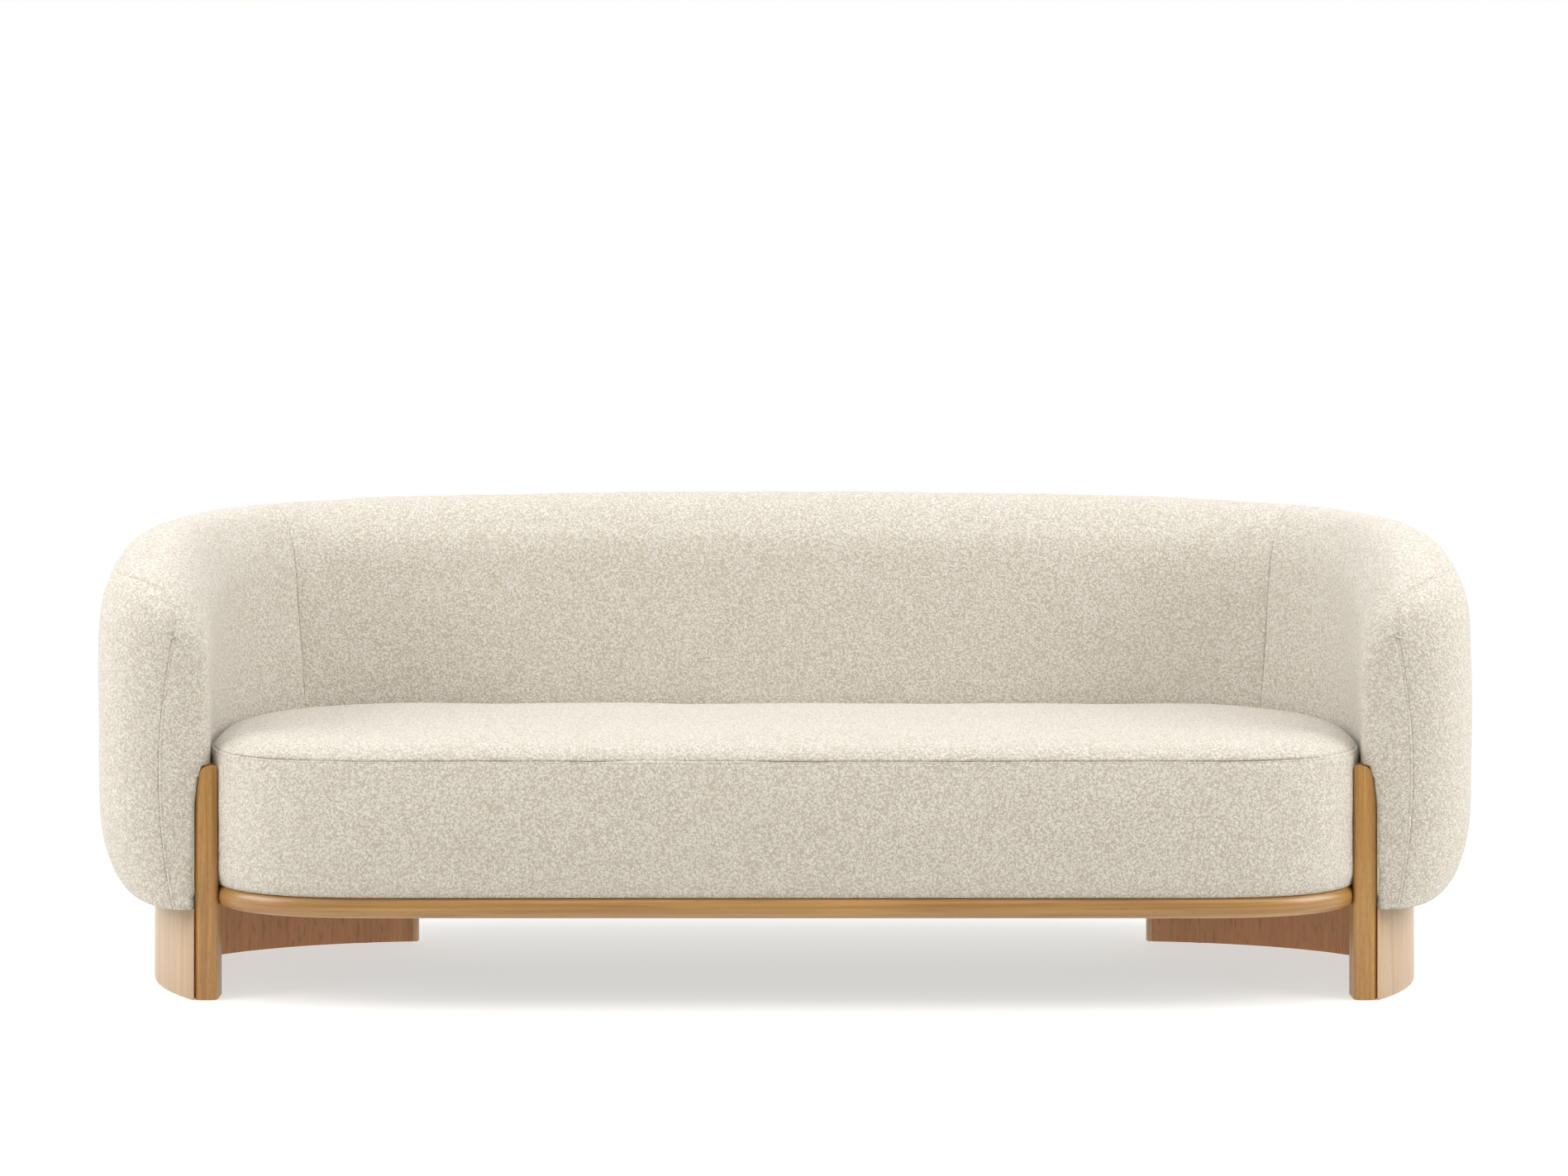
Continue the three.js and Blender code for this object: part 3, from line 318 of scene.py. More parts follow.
def grid_mesh(name, points, material, wrap=False, uv=None, flip=False):
    """A smooth mesh from a grid of points in millimetres of the oval's frame."""
    rows, columns = points.shape[:2]
    co = points.reshape(-1, 3).copy()
    co[:, 1] += SHIFT_Y
    index = np.arange(rows * columns).reshape(rows, columns)
    if wrap:
        index = np.concatenate([index, index[:1]], 0)
    a, b, c, d = index[:-1, :-1], index[1:, :-1], index[1:, 1:], index[:-1, 1:]
    faces = np.stack([a, d, c, b] if flip else [a, b, c, d], -1).reshape(-1, 4)
    mesh = bpy.data.meshes.new(name)
    mesh.from_pydata((co / MM).tolist(), [], faces.tolist())
    mesh.polygons.foreach_set("use_smooth", np.ones(len(faces), bool))
    if uv is not None:
        layer = mesh.uv_layers.new(name="metric")
        loops = np.zeros(len(mesh.loops), np.int32)
        mesh.loops.foreach_get("vertex_index", loops)
        layer.data.foreach_set("uv", uv.reshape(-1, 2)[loops].astype(np.float32).ravel())
    mesh.update()
    piece = bpy.data.objects.new(name, mesh)
    bpy.context.scene.collection.objects.link(piece)
    mesh.materials.append(material)
    return piece


# The swelling's grid pitch and caps in millimetres; start is the share of a cap that counts as no swelling
SWELL = {"pitch": 18.0, "frames": 20, "pressure": 4.0, "quality": 5, "cover": 3.0, "seat": 4.0, "start": 0.55}


def lines_apart(points, axis, pitch):
    """Distances along the grid's lines, and which lines to keep so that they lie about a pitch apart."""
    step = np.median(np.linalg.norm(np.diff(points, axis=axis), axis=2), axis=1 - axis)
    at = np.r_[0, np.cumsum(step)]
    keep = [0]
    for k in range(1, len(at) - 1):
        if at[k] - at[keep[-1]] >= pitch and at[-1] - at[k] >= pitch / 2:
            keep.append(k)
    return at, np.array(keep + [len(at) - 1])


def swelling(points, normal, cap, wrap=False):
    """How far the filling pushes fabric out along its normals: a cloth simulation, held along its edges."""
    along, rows = lines_apart(points, 0, SWELL["pitch"])
    across, columns = lines_apart(points, 1, SWELL["pitch"])
    grid, out = points[np.ix_(rows, columns)], normal[np.ix_(rows, columns)]
    piece = grid_mesh("swelling", grid, FABRIC, wrap=wrap, flip=bool((grid_normals(grid) * out).sum() < 0))
    index = np.arange(grid.shape[0] * grid.shape[1]).reshape(grid.shape[:2])
    edge = np.r_[index[:, 0], index[:, -1]] if wrap else np.r_[index[:, 0], index[:, -1], index[0], index[-1]]
    piece.vertex_groups.new(name="held").add(edge.tolist(), 1.0, "REPLACE")
    cloth = piece.modifiers.new("swelling", "CLOTH")
    cloth.settings.quality = SWELL["quality"]
    cloth.settings.use_pressure = True
    cloth.settings.uniform_pressure_force = SWELL["pressure"]
    cloth.settings.effector_weights.gravity = 0
    cloth.settings.vertex_group_mass = "held"
    cloth.collision_settings.use_collision = False
    for step in range(1, SWELL["frames"] + 1):
        bpy.context.scene.frame_set(step)
    swollen = piece.evaluated_get(bpy.context.evaluated_depsgraph_get())
    co = np.empty(grid.size)
    swollen.data.vertices.foreach_get("co", co)
    co = co.reshape(grid.shape) * MM
    co[..., 1] -= SHIFT_Y
    bpy.data.objects.remove(piece)
    bpy.context.scene.frame_set(1)
    moved = cap * np.tanh(np.maximum(((co - grid) * out).sum(2), 0) / cap)
    wide = np.array([np.interp(across, across[columns], m) for m in moved])
    return np.array([np.interp(along, along[rows], m) for m in wide.T]).T


# A seam in millimetres: its valley and the shallow slope beside it, and the stitched line next to it
SEAM = {"valley": 1.4, "slope": 9.0, "slope_share": 0.35,
        "stitch": 1.0, "stitch_at": 5.0, "stitch_width": 1.0}
SEAM_DEPTHS = {"inner": 0.7, "outer": 0.8, "corner": 0.9, "front": 1.0, "seat": 1.4}


def seam_profile(distance, stitched, depth):
    """How deep the fabric lies at a distance from a seam."""
    dip = depth * np.exp(-(distance / SEAM["valley"]) ** 2)
    dip = dip + SEAM["slope_share"] * depth * np.exp(-(distance / SEAM["slope"]) ** 2)
    if stitched:
        dip = dip + SEAM["stitch"] * np.exp(-((distance - SEAM["stitch_at"]) / SEAM["stitch_width"]) ** 2)
    return dip


# The inner covers are clear of the seat this far above its shoulder; their grid is finer round the post's top
CLEAR_HEIGHT = 60.0
POST_TOP = {"below": 16.0, "above": 8.0, "pitch": 1.4}


def shell_points(d, part):
    """A grid of the shell's surface, and how far along the section each point lies from the covers' seam."""
    at, out, z = section(d, part, FINE_STEPS)
    if part == "inner":
        # Level rows up to just above the seat, and from there shares of what is left of each line
        level = SEAT["shoulder"] + CLEAR_HEIGHT
        first = np.argmax(z > level, axis=1)
        fine_from, fine_to = POST["top"] - POST_TOP["below"], POST["top"] + POST_TOP["above"]
        heights = fine_spans([(SHELL["bottom"], fine_from, PITCH), (fine_from, fine_to, POST_TOP["pitch"]),
                              (fine_to, level, PITCH)])
        low_out = np.array([np.interp(heights, b[1:k + 1], a[1:k + 1]) for a, b, k in zip(out, z, first)])
        upper = [(np.r_[a[-1], o[k:]], np.r_[level, h[k:]]) for a, o, h, k in zip(low_out, out, z, first)]
        rest = np.array([np.hypot(np.diff(o), np.diff(h)).sum() for o, h in upper])
        where = spacing(float(np.median(rest)), PITCH, fine_high=True)
        where = where / where[-1]
        runs = [resample(o[None], h[None], where) for o, h in upper]
        low_z = np.broadcast_to(heights[:-1], low_out[:, :-1].shape)
        out = np.concatenate([out[:, :1], low_out[:, :-1], np.concatenate([r[0] for r in runs])], 1)
        z = np.concatenate([z[:, :1], low_z, np.concatenate([r[1] for r in runs])], 1)
        far = np.full((len(out), len(heights)), FAR_FROM_SEAMS)
        to_seam = np.concatenate([far, (1 - where)[None, :] * rest[:, None]], 1)
    else:
        length = np.hypot(np.diff(out, axis=1), np.diff(z, axis=1)).sum(1)
        where = spacing(float(np.median(length)), PITCH, fine_low=True)
        where = where / where[-1]
        out, z = resample(out, z, where)
        to_seam = where[None, :] * length[:, None]
    x = at["side"] * (at["x"] + at["nx"] * out)
    return np.stack([x, at["y"] + at["ny"] * out, z], -1), to_seam


def along_rows(points):
    """Distance of each point from the first and the last row, along the grid."""
    step = np.linalg.norm(np.diff(points, axis=0), axis=2)
    first = np.concatenate([np.zeros((1, points.shape[1])), np.cumsum(step, 0)], 0)
    return first, first[-1:] - first


# Rounds of averaging, and how many columns beside the seam at the crest tell a cover's outer side
SMOOTHING = 3
CREST_COLUMNS = 8


def smooth_normals(points, part):
    """The grid's normals, averaged with their neighbours, pointing out of the filling."""
    n = grid_normals(points)
    for _ in range(SMOOTHING):
        p = np.pad(n, ((1, 1), (1, 1), (0, 0)), mode="edge")
        n = unit(sum(p[i:i + n.shape[0], j:j + n.shape[1]] for i in range(3) for j in range(3)))
    crest = n[:, -CREST_COLUMNS:, 2] if part == "inner" else n[:, :CREST_COLUMNS, 2]
    return n if crest.mean() > 0 else -n


# How the inner arm cover is cut out round the post and tucked in there
NOTCH = {"tuck": 3.0, "reach": 6.0, "edge": 0.5, "behind": 1.5, "depth": 4.0}


def post_distance(x, z):
    """Distance outside the post's face, seen from the front, negative inside it."""
    x = np.abs(x)
    fall = np.clip((z - (POST["top"] - POST["drop"])) / POST["drop"], 0, 1)
    outer = POST["inner"] + POST["width"] - POST["in"] * fall ** 2
    side = np.maximum(POST["inner"] - x, x - outer)
    return np.maximum(side, z - POST["top"])


def notched(points):
    """Tucks the fabric in round the post, and takes what lies behind the post close to its rear face."""
    near = post_distance(points[..., 0], points[..., 2])
    front = points[..., 1] < POST["back"] + NOTCH["depth"]
    share = np.clip(1 - near / NOTCH["reach"], 0, 1)
    y = points[..., 1] + NOTCH["tuck"] * share ** 2
    y = np.where(near < NOTCH["edge"], np.maximum(y, POST["back"] + NOTCH["behind"]), y)
    points[..., 1] = np.where(front & (near < NOTCH["reach"]), y, points[..., 1])
    return points


# How far the two seams' meeting at the arm's front is felt
TIP_REACH = 16.0


def dressed(points, part, seams, seed, tip=None):
    """Sinks seams of (distance, depth, stitched) into a cover's surface, and swells it with its filling."""
    normal = smooth_normals(points, part)
    if tip is not None:
        # Where the seam over the arm meets the seam down its front, both covers move straight forward
        near = np.exp(-(tip / TIP_REACH) ** 2)[..., None]
        normal = unit(normal * (1 - near) + np.array([0, -1.0, 0]) * near)
    depth = np.zeros(points.shape[:2])
    for distance, deep, stitched in seams:
        depth = np.maximum(depth, seam_profile(distance, stitched, deep))
    clear = ease((points[..., 2] - SEAT["shoulder"]) / CLEAR_HEIGHT) if part == "inner" else 1.0
    swell = (swelling(points, normal, SWELL["cover"]) - SWELL["cover"] * SWELL["start"]) * clear
    return points + normal * (unevenness(points, COVER_WAVES, seed) + swell - depth)[..., None]


# How far the edges of the covers turn in
FLANGE = 6.0


def flanged(points, part):
    """Turns a cover's edges in where it meets its neighbours: first and last rows, and the seam's column."""
    normal = smooth_normals(points, part)
    for axis, first in ((0, True), (0, False), (1, part == "outer")):
        pick = slice(0, 1) if first else slice(-1, None)
        index = (pick, slice(None)) if axis == 0 else (slice(None), pick)
        edge, way = points[index] - normal[index] * FLANGE, normal[index]
        points = np.concatenate([edge, points] if first else [points, edge], axis)
        normal = np.concatenate([way, normal] if first else [normal, way], axis)
    return points


def arm_cover(part, word, side):
    straight = spacing(ARM_LENGTH, PITCH, fine_low=True)
    d = CORNER_AT + np.r_[straight, ARM_LENGTH + closing_stations(part, CLOSING_PITCH)[1:]]
    points, to_seam = shell_points(d, part)
    to_corner, to_front = along_rows(points)
    points[..., 0] *= side
    stitched = part == "inner"
    seams = ((to_seam, SEAM_DEPTHS[part], stitched), (to_corner, SEAM_DEPTHS["corner"], False),
             (to_front, SEAM_DEPTHS["front"], stitched))
    points = dressed(points, part, seams, SEEDS[word], tip=np.hypot(to_front, to_seam))
    points = flanged(points, part)
    return notched(points) if part == "inner" else points


def back_cover(part):
    half = CORNER_AT - spacing(CORNER_AT, PITCH, fine_low=True)[::-1]
    points, to_seam = shell_points(np.r_[-half[:0:-1], half], part)
    to_left, to_right = along_rows(points)
    to_corner = np.minimum(to_left, to_right)
    seams = ((to_seam, SEAM_DEPTHS[part], False), (to_corner, SEAM_DEPTHS["corner"], False))
    return flanged(dressed(points, part, seams, SEEDS[part + "_back"]), part)


# The seat's and the rail's lines round the oval: pitches at the front and behind, and where the front begins
SEAT_LINE = {"front_pitch": 7.0, "back_pitch": 22.0}
RAIL_LINE = {"front_pitch": 6.0, "back_pitch": 40.0}
LINE_FRONT_Y = -60.0


def oval_line(front_pitch, back_pitch):
    """Points and outward directions round the whole oval, closer together at the front."""
    x, y = half_oval(-math.pi / 2, LINE_POINTS)
    x = np.r_[x, np.linspace(OVAL["straight"], 0, STRAIGHT_POINTS)[1:]]
    y = np.r_[y, np.full(STRAIGHT_POINTS - 1, -OVAL["depth"])]
    length = np.r_[0, np.cumsum(np.hypot(np.diff(x), np.diff(y)))]
    turn = float(length[np.argmax(y < LINE_FRONT_Y)])
    front = np.linspace(turn, length[-1], int((length[-1] - turn) / front_pitch))
    at = np.r_[np.arange(0, turn, back_pitch), front]
    px, py = np.interp(at, length, x), np.interp(at, length, y)
    nx, ny = oval_normal(px, py)
    mirror = slice(-2, 0, -1)
    return (np.r_[px, -px[mirror]], np.r_[py, py[mirror]], np.r_[nx, -nx[mirror]], np.r_[ny, ny[mirror]])


def front_share(y):
    from_y = FRONT_Y + SEAT["roll"]
    return ease((from_y - y) / (from_y + OVAL["depth"]))


def roll_inset(rise):
    """How far in the seat's edge lies at a height above its seam, where it rolls over from front to top."""
    share = np.clip((rise + SEAT["below"]) / (SEAT["shoulder"] - SEAT["seam"] + SEAT["below"]), 0, 1)
    return SEAT["roll"] * (1 - np.sqrt(1 - share ** 2))


# The band's grid, the height over which its foot is held, how far it turns in there, and two exponents
BAND = {"pitch": 7.5, "held": 12.0, "foot": 20.0, "tuck_full": 1.5, "bulge_low": 0.9}


def seat_band(line):
    x, y, nx, ny = (v[:, None] for v in line)
    height = SEAT["seam"] - SEAT["bottom"] - SEAT["seam_gap"]
    rise = spacing(height, BAND["pitch"], fine_high=True)[None, :]
    z = SEAT["bottom"] + rise + 0 * x
    tuck = SEAT["tuck"] * np.maximum(1 - rise / SEAT["tuck_height"], 0) ** BAND["tuck_full"]
    bulge = SEAT["bulge"] * np.sin(math.pi * (rise / height) ** BAND["bulge_low"]) * front_share(y)
    out = bulge - SEAT["gap"] - tuck - roll_inset(rise - height)
    points = np.stack([x + nx * out, y + ny * out, z], -1)
    normal = np.stack([nx + 0 * z, ny + 0 * z, 0 * z], -1)
    depth = seam_profile(height - rise + 0 * z, True, SEAM_DEPTHS["seat"])
    waves = unevenness(points, BAND_WAVES, SEEDS["band"])
    free = np.clip(rise / BAND["held"], 0, 1)
    swell = swelling(points, normal, SWELL["seat"], wrap=True) - SWELL["seat"] * SWELL["start"]
    points = points + normal * (waves * free + swell * front_share(y) * free - depth)[..., None]
    edge = points[:, -1:] - normal[:, -1:] * FLANGE
    foot = points[:, :1] - normal[:, :1] * BAND["foot"]
    return np.concatenate([foot, points, edge], 1)


# The top's grid, how many columns lie flat beside its middle line, and how fast its waves fade there
TOP = {"pitch": 8.5, "flat": 6, "fade": 3.0}


def seat_top(line):
    x, y, nx, ny = (v[:, None] for v in line)
    share = (1 - np.linspace(0, 1, TOP_POINTS) ** 2) * (1 - roll_inset(0.0) / OVAL["depth"])
    edge = (1 - share) * OVAL["depth"]
    height = SEAT["shoulder"] - SEAT["seam"] + SEAT["below"]
    rise = height * quarter(1 - edge / SEAT["roll"], 2) - SEAT["below"]
    rise = rise + (SEAT["crown"] - SEAT["shoulder"]) * (1 - share ** 2)
    length = np.r_[0, np.cumsum(np.hypot(np.diff(edge), np.diff(rise)))]
    at = spacing(length[-1], TOP["pitch"], fine_low=True)
    share, rise = np.interp(at, length, share)[None, :], np.interp(at, length, rise)[None, :]
    ring_x, ring_y = x - nx * SEAT["gap"], y - ny * SEAT["gap"]
    past = np.maximum(np.abs(ring_x) - OVAL["straight"], 0)
    within = np.minimum(np.abs(ring_x), OVAL["straight"])
    z = SEAT["seam"] + SEAT["seam_gap"] + rise + 0 * x
    points = np.stack([np.sign(ring_x) * (within + past * share), ring_y * share, z], -1)
    flat = TOP["flat"]
    normal = grid_normals(points)
    normal = normal if normal[:, :-flat, 2].mean() > 0 else -normal
    normal[:, -flat:] = (0, 0, 1)
    depth = seam_profile(at[None, :] + 0 * z, False, SEAM_DEPTHS["seat"])
    waves = unevenness(points, TOP_WAVES, SEEDS["top"])
    # The sheet is held at its middle line only while it swells, so its height carries on inwards from there
    swell = np.maximum.accumulate(swelling(points[:, :-flat], normal[:, :-flat], SWELL["seat"], wrap=True), 1)
    swell = np.concatenate([swell, np.repeat(swell[:, -1:], flat, 1)], 1)
    points = points + normal * (waves * np.clip(share * TOP["fade"], 0, 1) + swell - depth)[..., None]
    low = points[:, :1] - np.stack([nx, ny, 0 * nx], -1) * FLANGE
    return np.concatenate([low, points], 1)


# How far behind the posts' rear faces the rail's line is kept, and the points of its nose and flat sides
RAIL_GRID = {"behind_post": 30.0, "nose_steps": 25, "flat_steps": 5}


def rail_points():
    """The bowed rail as a grid, and its places along and round the rail in metres for the grain."""
    x, y, nx, ny = oval_line(**RAIL_LINE)
    pick = y < POST["back"] + RAIL_GRID["behind_post"]
    order = np.argsort(np.arctan2(x, -y)[pick])
    x, y, nx, ny = (v[pick][order][:, None] for v in (x, y, nx, ny))
    turn = np.linspace(math.pi / 2, -math.pi / 2, RAIL_GRID["nose_steps"])
    inset = SEAT["gap"] + RAIL["nose"] * (1 - np.cos(turn))
    low, high, flat = RAIL["bottom"], RAIL["bottom"] + RAIL["height"], RAIL_GRID["flat_steps"]
    z = RAIL["bottom"] + RAIL["height"] / 2 + RAIL["height"] / 2 * np.sin(turn)
    back = np.linspace(inset[-1], RAIL["depth"], flat + 1)[1:]
    inset = np.r_[inset, back, back[::-1], inset[0]]
    z = np.r_[z, np.full(flat, low), np.full(flat, high), high]
    room = POST["inner"] - RAIL["gap"]
    px, py = np.clip(x - nx * inset, -room, room), np.minimum(y - ny * inset, POST["back"])
    points = np.stack([px, py, z + 0 * x], -1)
    line = np.r_[0, np.cumsum(np.hypot(np.diff(x[:, 0]), np.diff(y[:, 0])))]
    girth = np.r_[0, np.cumsum(np.hypot(np.diff(inset), np.diff(z)))]
    uv = np.stack(np.broadcast_arrays(line[:, None] / MM, girth[None, :] / MM), -1)
    ends = [np.repeat(row.mean(1, keepdims=True), points.shape[1], 1) for row in (points[:1], points[-1:])]
    return np.concatenate([ends[0], points, ends[1]], 0), np.concatenate([uv[:1], uv, uv[-1:]], 0)


class Nodes:
    """Small helper for building the node tree of a material or of the world."""

    def __init__(self, owner):
        self.owner = owner
        owner.use_nodes = True
        self.tree = owner.node_tree
        self.coords = self.add("TexCoord")

    def add(self, kind, **settings):
        node = self.tree.nodes.new("ShaderNode" + kind)
        for name, value in settings.items():
            setattr(node, name, value)
        return node

    def feed(self, socket, value):
        """Links an output to a socket, or sets the socket's own number or colour."""
        if isinstance(value, bpy.types.NodeSocket):
            self.tree.links.new(value, socket)
        else:
            socket.default_value = (*value, 1) if isinstance(value, tuple) else value

    def mapping(self, scale, source="Object"):
        node = self.add("Mapping")
        node.inputs["Scale"].default_value = scale
        self.feed(node.inputs["Vector"], self.coords.outputs[source])
        return node.outputs["Vector"]

    def noise(self, vector, scale, detail=2.0, rough=0.5, distortion=0.0, output="Fac"):
        node = self.add("TexNoise")
        for name, value in (("Vector", vector), ("Scale", scale), ("Detail", detail), ("Roughness", rough),
                            ("Distortion", distortion)):
            self.feed(node.inputs[name], value)
        return node.outputs[output]

    def voronoi(self, vector, scale, random=1.0, smooth=None):
        node = self.add("TexVoronoi", feature="F1" if smooth is None else "SMOOTH_F1")
        for name, value in (("Vector", vector), ("Scale", scale), ("Randomness", random)):
            self.feed(node.inputs[name], value)
        if smooth is not None:
            self.feed(node.inputs["Smoothness"], smooth)
        return node.outputs["Distance"]

    def math(self, kind, a, b):
        node = self.add("Math", operation=kind)
        self.feed(node.inputs[0], a)
        self.feed(node.inputs[1], b)
        return node.outputs[0]

    def total(self, *weighted):
        """The sum of outputs times their weights."""
        terms = [self.math("MULTIPLY", value, weight) for value, weight in weighted]
        result = terms[0]
        for term in terms[1:]:
            result = self.math("ADD", result, term)
        return result

    def vector_math(self, kind, *vectors, output="Value"):
        node = self.add("VectorMath", operation=kind)
        for socket, vector in zip(node.inputs, vectors):
            self.feed(socket, vector)
        return node.outputs[output]

    def span(self, value, low, high, to_low=0.0, to_high=1.0):
        node = self.add("MapRange")
        for socket, v in zip(node.inputs, (value, low, high, to_low, to_high)):
            self.feed(socket, v)
        return node.outputs[0]

    def ramp(self, value, stops):
        node = self.add("ValToRGB")
        while len(node.color_ramp.elements) < len(stops):
            node.color_ramp.elements.new(0.5)
        for element, (place, colour) in zip(node.color_ramp.elements, stops):
            element.position = place
            element.color = (*colour, 1)
        self.feed(node.inputs[0], value)
        return node.outputs["Color"]

    def mix(self, share, a, b, kind="MIX"):
        node = self.add("Mix", data_type="RGBA", blend_type=kind)
        for name, value in (("Factor", share), ("A", a), ("B", b)):
            self.feed([s for s in node.inputs if s.name == name and s.enabled][0], value)
        return [s for s in node.outputs if s.name == "Result" and s.enabled][0]

    def bump(self, height, strength, distance):
        node = self.add("Bump")
        for name, value in (("Height", height), ("Strength", strength), ("Distance", distance)):
            self.feed(node.inputs[name], value)
        return node.outputs["Normal"]

    def finish(self, **sockets):
        """Feeds the shader's sockets, whose names have _ for each space, and returns the material."""
        shader = self.tree.nodes["Principled BSDF"]
        for name, value in sockets.items():
            self.feed(shader.inputs[name.replace("_", " ")], value)
        return self.owner


# Scales of noise and cells are counts in a metre, and bump distances are metres
def looped_fabric():
    """Off-white looped pile: curls about 4 mm across with finer threads, and painted shade darkening the gaps
    between them.
    """
    n = Nodes(bpy.data.materials.new("looped_fabric"))
    place = n.coords.outputs["Object"]
    wander = n.noise(place, 150, rough=0.6, output="Color")
    shifted = n.mix(0.006, place, wander, "LINEAR_LIGHT")
    curls = n.voronoi(shifted, 265, random=0.85, smooth=0.35)
    fine = n.voronoi(shifted, 560, random=0.9)
    swirl = n.noise(shifted, 420, rough=0.6, distortion=1.2)
    loops = n.span(curls, 0.08, 0.62, 1, 0)
    threads = n.span(fine, 0.05, 0.7, 1, 0)
    height = n.total((loops, 0.68), (threads, 0.24), (swirl, 0.34))
    # Colour follows the pile's height: the low gaps between the curls get painted shade, darker and warmer
    # than the curls' tops
    colour = n.ramp(height, [(0.20, (0.45, 0.40, 0.32)), (0.44, (0.63, 0.59, 0.52)),
                             (0.66, (0.70, 0.675, 0.625)), (1.0, (0.74, 0.73, 0.70))])
    return n.finish(Base_Color=colour, Roughness=0.96, Normal=n.bump(height, 0.8, 0.0018),
                    Specular_IOR_Level=0.15, Sheen_Weight=0.25, Sheen_Roughness=0.55,
                    Sheen_Tint=(1, 0.98, 0.94))


def wood(name, light, dark, grain, source="Object", gloss=0.38, pores=0.35, pore=(0.30, 0.16, 0.06),
         inner=None, coat=0.15):
    """Oiled wood: streaks and short pores along the grain, with slow changes of tone, and painted shade on
    the faces that look inwards when inner is given.
    """
    n = Nodes(bpy.data.materials.new(name))

    def grained(along, across):
        return n.mapping(tuple(along if g else across for g in grain), source)

    streak = n.noise(grained(1.0, 42.0), 3.2, detail=6, rough=0.62, distortion=0.6)
    tone = n.noise(grained(0.8, 7.0), 1.9)
    hair = n.noise(grained(9.0, 260.0), 3.0, rough=0.6)
    fleck = n.noise(grained(36.0, 420.0), 2.4, detail=1)
    middle = tuple((a + b) / 2 for a, b in zip(light, dark))
    colour = n.ramp(n.total((streak, 0.62), (tone, 0.38)), [(0.34, dark), (0.5, middle), (0.66, light)])
    colour = n.mix(n.span(hair, 0.52, 0.75, 0, 0.30), colour, dark)
    colour = n.mix(n.span(fleck, 0.60, 0.72, 0, pores), colour, pore)
    if inner is not None:
        # The faces that look in towards the object's middle get painted shade, darker and redder, with short
        # dark dashes of wood fleck
        outward = n.vector_math("DOT_PRODUCT", n.coords.outputs["Normal"], n.coords.outputs["Object"])
        dashes = n.noise(n.mapping((170.0, 170.0, 22.0), source), 1.6, detail=1)
        painted_shade_and_flecks = n.mix(n.span(dashes, 0.58, 0.70, 0, 0.55), inner, tuple(c * 0.55 for c in inner))
        colour = n.mix(n.span(outward, -0.03, 0.03, 1, 0), colour, n.mix(1.0, colour, painted_shade_and_flecks, "MULTIPLY"))
    rough = n.span(streak, 0.3, 0.7, gloss + 0.07, gloss - 0.04)
    height = n.math("SUBTRACT", n.math("MULTIPLY", hair, 0.35), n.span(fleck, 0.60, 0.72, 0, 0.6))
    return n.finish(Base_Color=colour, Roughness=rough, Normal=n.bump(height, 0.25, 0.0006),
                    Specular_IOR_Level=0.45, Coat_Weight=coat, Coat_Roughness=0.25)


def plain_cloth(name, light, dark, scale=600, rough=0.95):
    n = Nodes(bpy.data.materials.new(name))
    grain = n.noise(n.coords.outputs["Object"], scale, rough=0.6)
    colour = n.ramp(grain, [(0.35, dark), (0.65, light)])
    return n.finish(Base_Color=colour, Roughness=rough, Normal=n.bump(grain, 0.4, 0.001))


def metal(name, colour, rough=0.34):
    n = Nodes(bpy.data.materials.new(name))
    spangle = n.voronoi(n.coords.outputs["Object"], 160)
    tint = n.ramp(spangle, [(0.1, tuple(c * 0.88 for c in colour)), (0.7, colour)])
    return n.finish(Base_Color=tint, Roughness=n.span(spangle, 0, 0.8, rough - 0.06, rough + 0.1),
                    Normal=n.bump(spangle, 0.08, 0.0004), Metallic=1.0)


# Which of the three axes the grain follows
UP = (False, False, True)
ALONG_X = (True, False, False)
ALONG_U = (True, False, False)

FABRIC = looped_fabric()
MATERIALS = {
    "looped_fabric": FABRIC,
    "dust_cloth": plain_cloth("dust_cloth", (0.035, 0.034, 0.033), (0.014, 0.014, 0.014)),
    "foam": plain_cloth("foam", (0.83, 0.76, 0.55), (0.70, 0.62, 0.42), 300),
    "felt": plain_cloth("felt", (0.30, 0.28, 0.26), (0.17, 0.16, 0.15), 350),
    "steel": metal("steel", (0.60, 0.61, 0.63)),
    "nylon": plain_cloth("nylon", (0.045, 0.04, 0.035), (0.03, 0.027, 0.024), 200, 0.5),
    # The veneer's inner tint is painted shade: it makes the faces that look inwards darker and redder
    "veneer": wood("veneer", (0.515, 0.37, 0.235), (0.39, 0.26, 0.15), UP, pores=0.30,
                   pore=(0.34, 0.17, 0.08), inner=(1.15, 0.77, 0.525)),
    "pale_wood": wood("pale_wood", (0.66, 0.42, 0.25), (0.52, 0.30, 0.165), UP, pores=0.2),
    "oiled_wood": wood("oiled_wood", (0.60, 0.325, 0.095), (0.27, 0.13, 0.034), UP, pores=0.6,
                       pore=(0.22, 0.11, 0.035)),
    "plywood": wood("plywood", (0.66, 0.48, 0.28), (0.50, 0.34, 0.18), ALONG_X),
    "frame_wood": wood("frame_wood", (0.66, 0.46, 0.26), (0.52, 0.33, 0.16), ALONG_X),
}
RAIL_WOOD = wood("rail_wood", (0.48, 0.26, 0.074), (0.25, 0.12, 0.030), ALONG_U, "UV", gloss=0.30, pores=0.28,
                 coat=0.45)

# Eased edges of the woods, in metres
WELD_GAP = 0.00002
EASED = 0.0016
EASED_STEPS = 3
EASED_ANGLE = 40


def smooth_node(node):
    """Smooth shading and eased edges for a CAD node that keeps its shape."""
    if not node.data.polygons:
        return
    node.data.polygons.foreach_set("use_smooth", np.ones(len(node.data.polygons), bool))
    weld = node.modifiers.new("weld", "WELD")
    weld.merge_threshold = WELD_GAP
    edges = node.modifiers.new("edges", "BEVEL")
    edges.width = EASED
    edges.segments = EASED_STEPS
    edges.limit_method = "ANGLE"
    edges.angle_limit = math.radians(EASED_ANGLE)
    edges.harden_normals = True


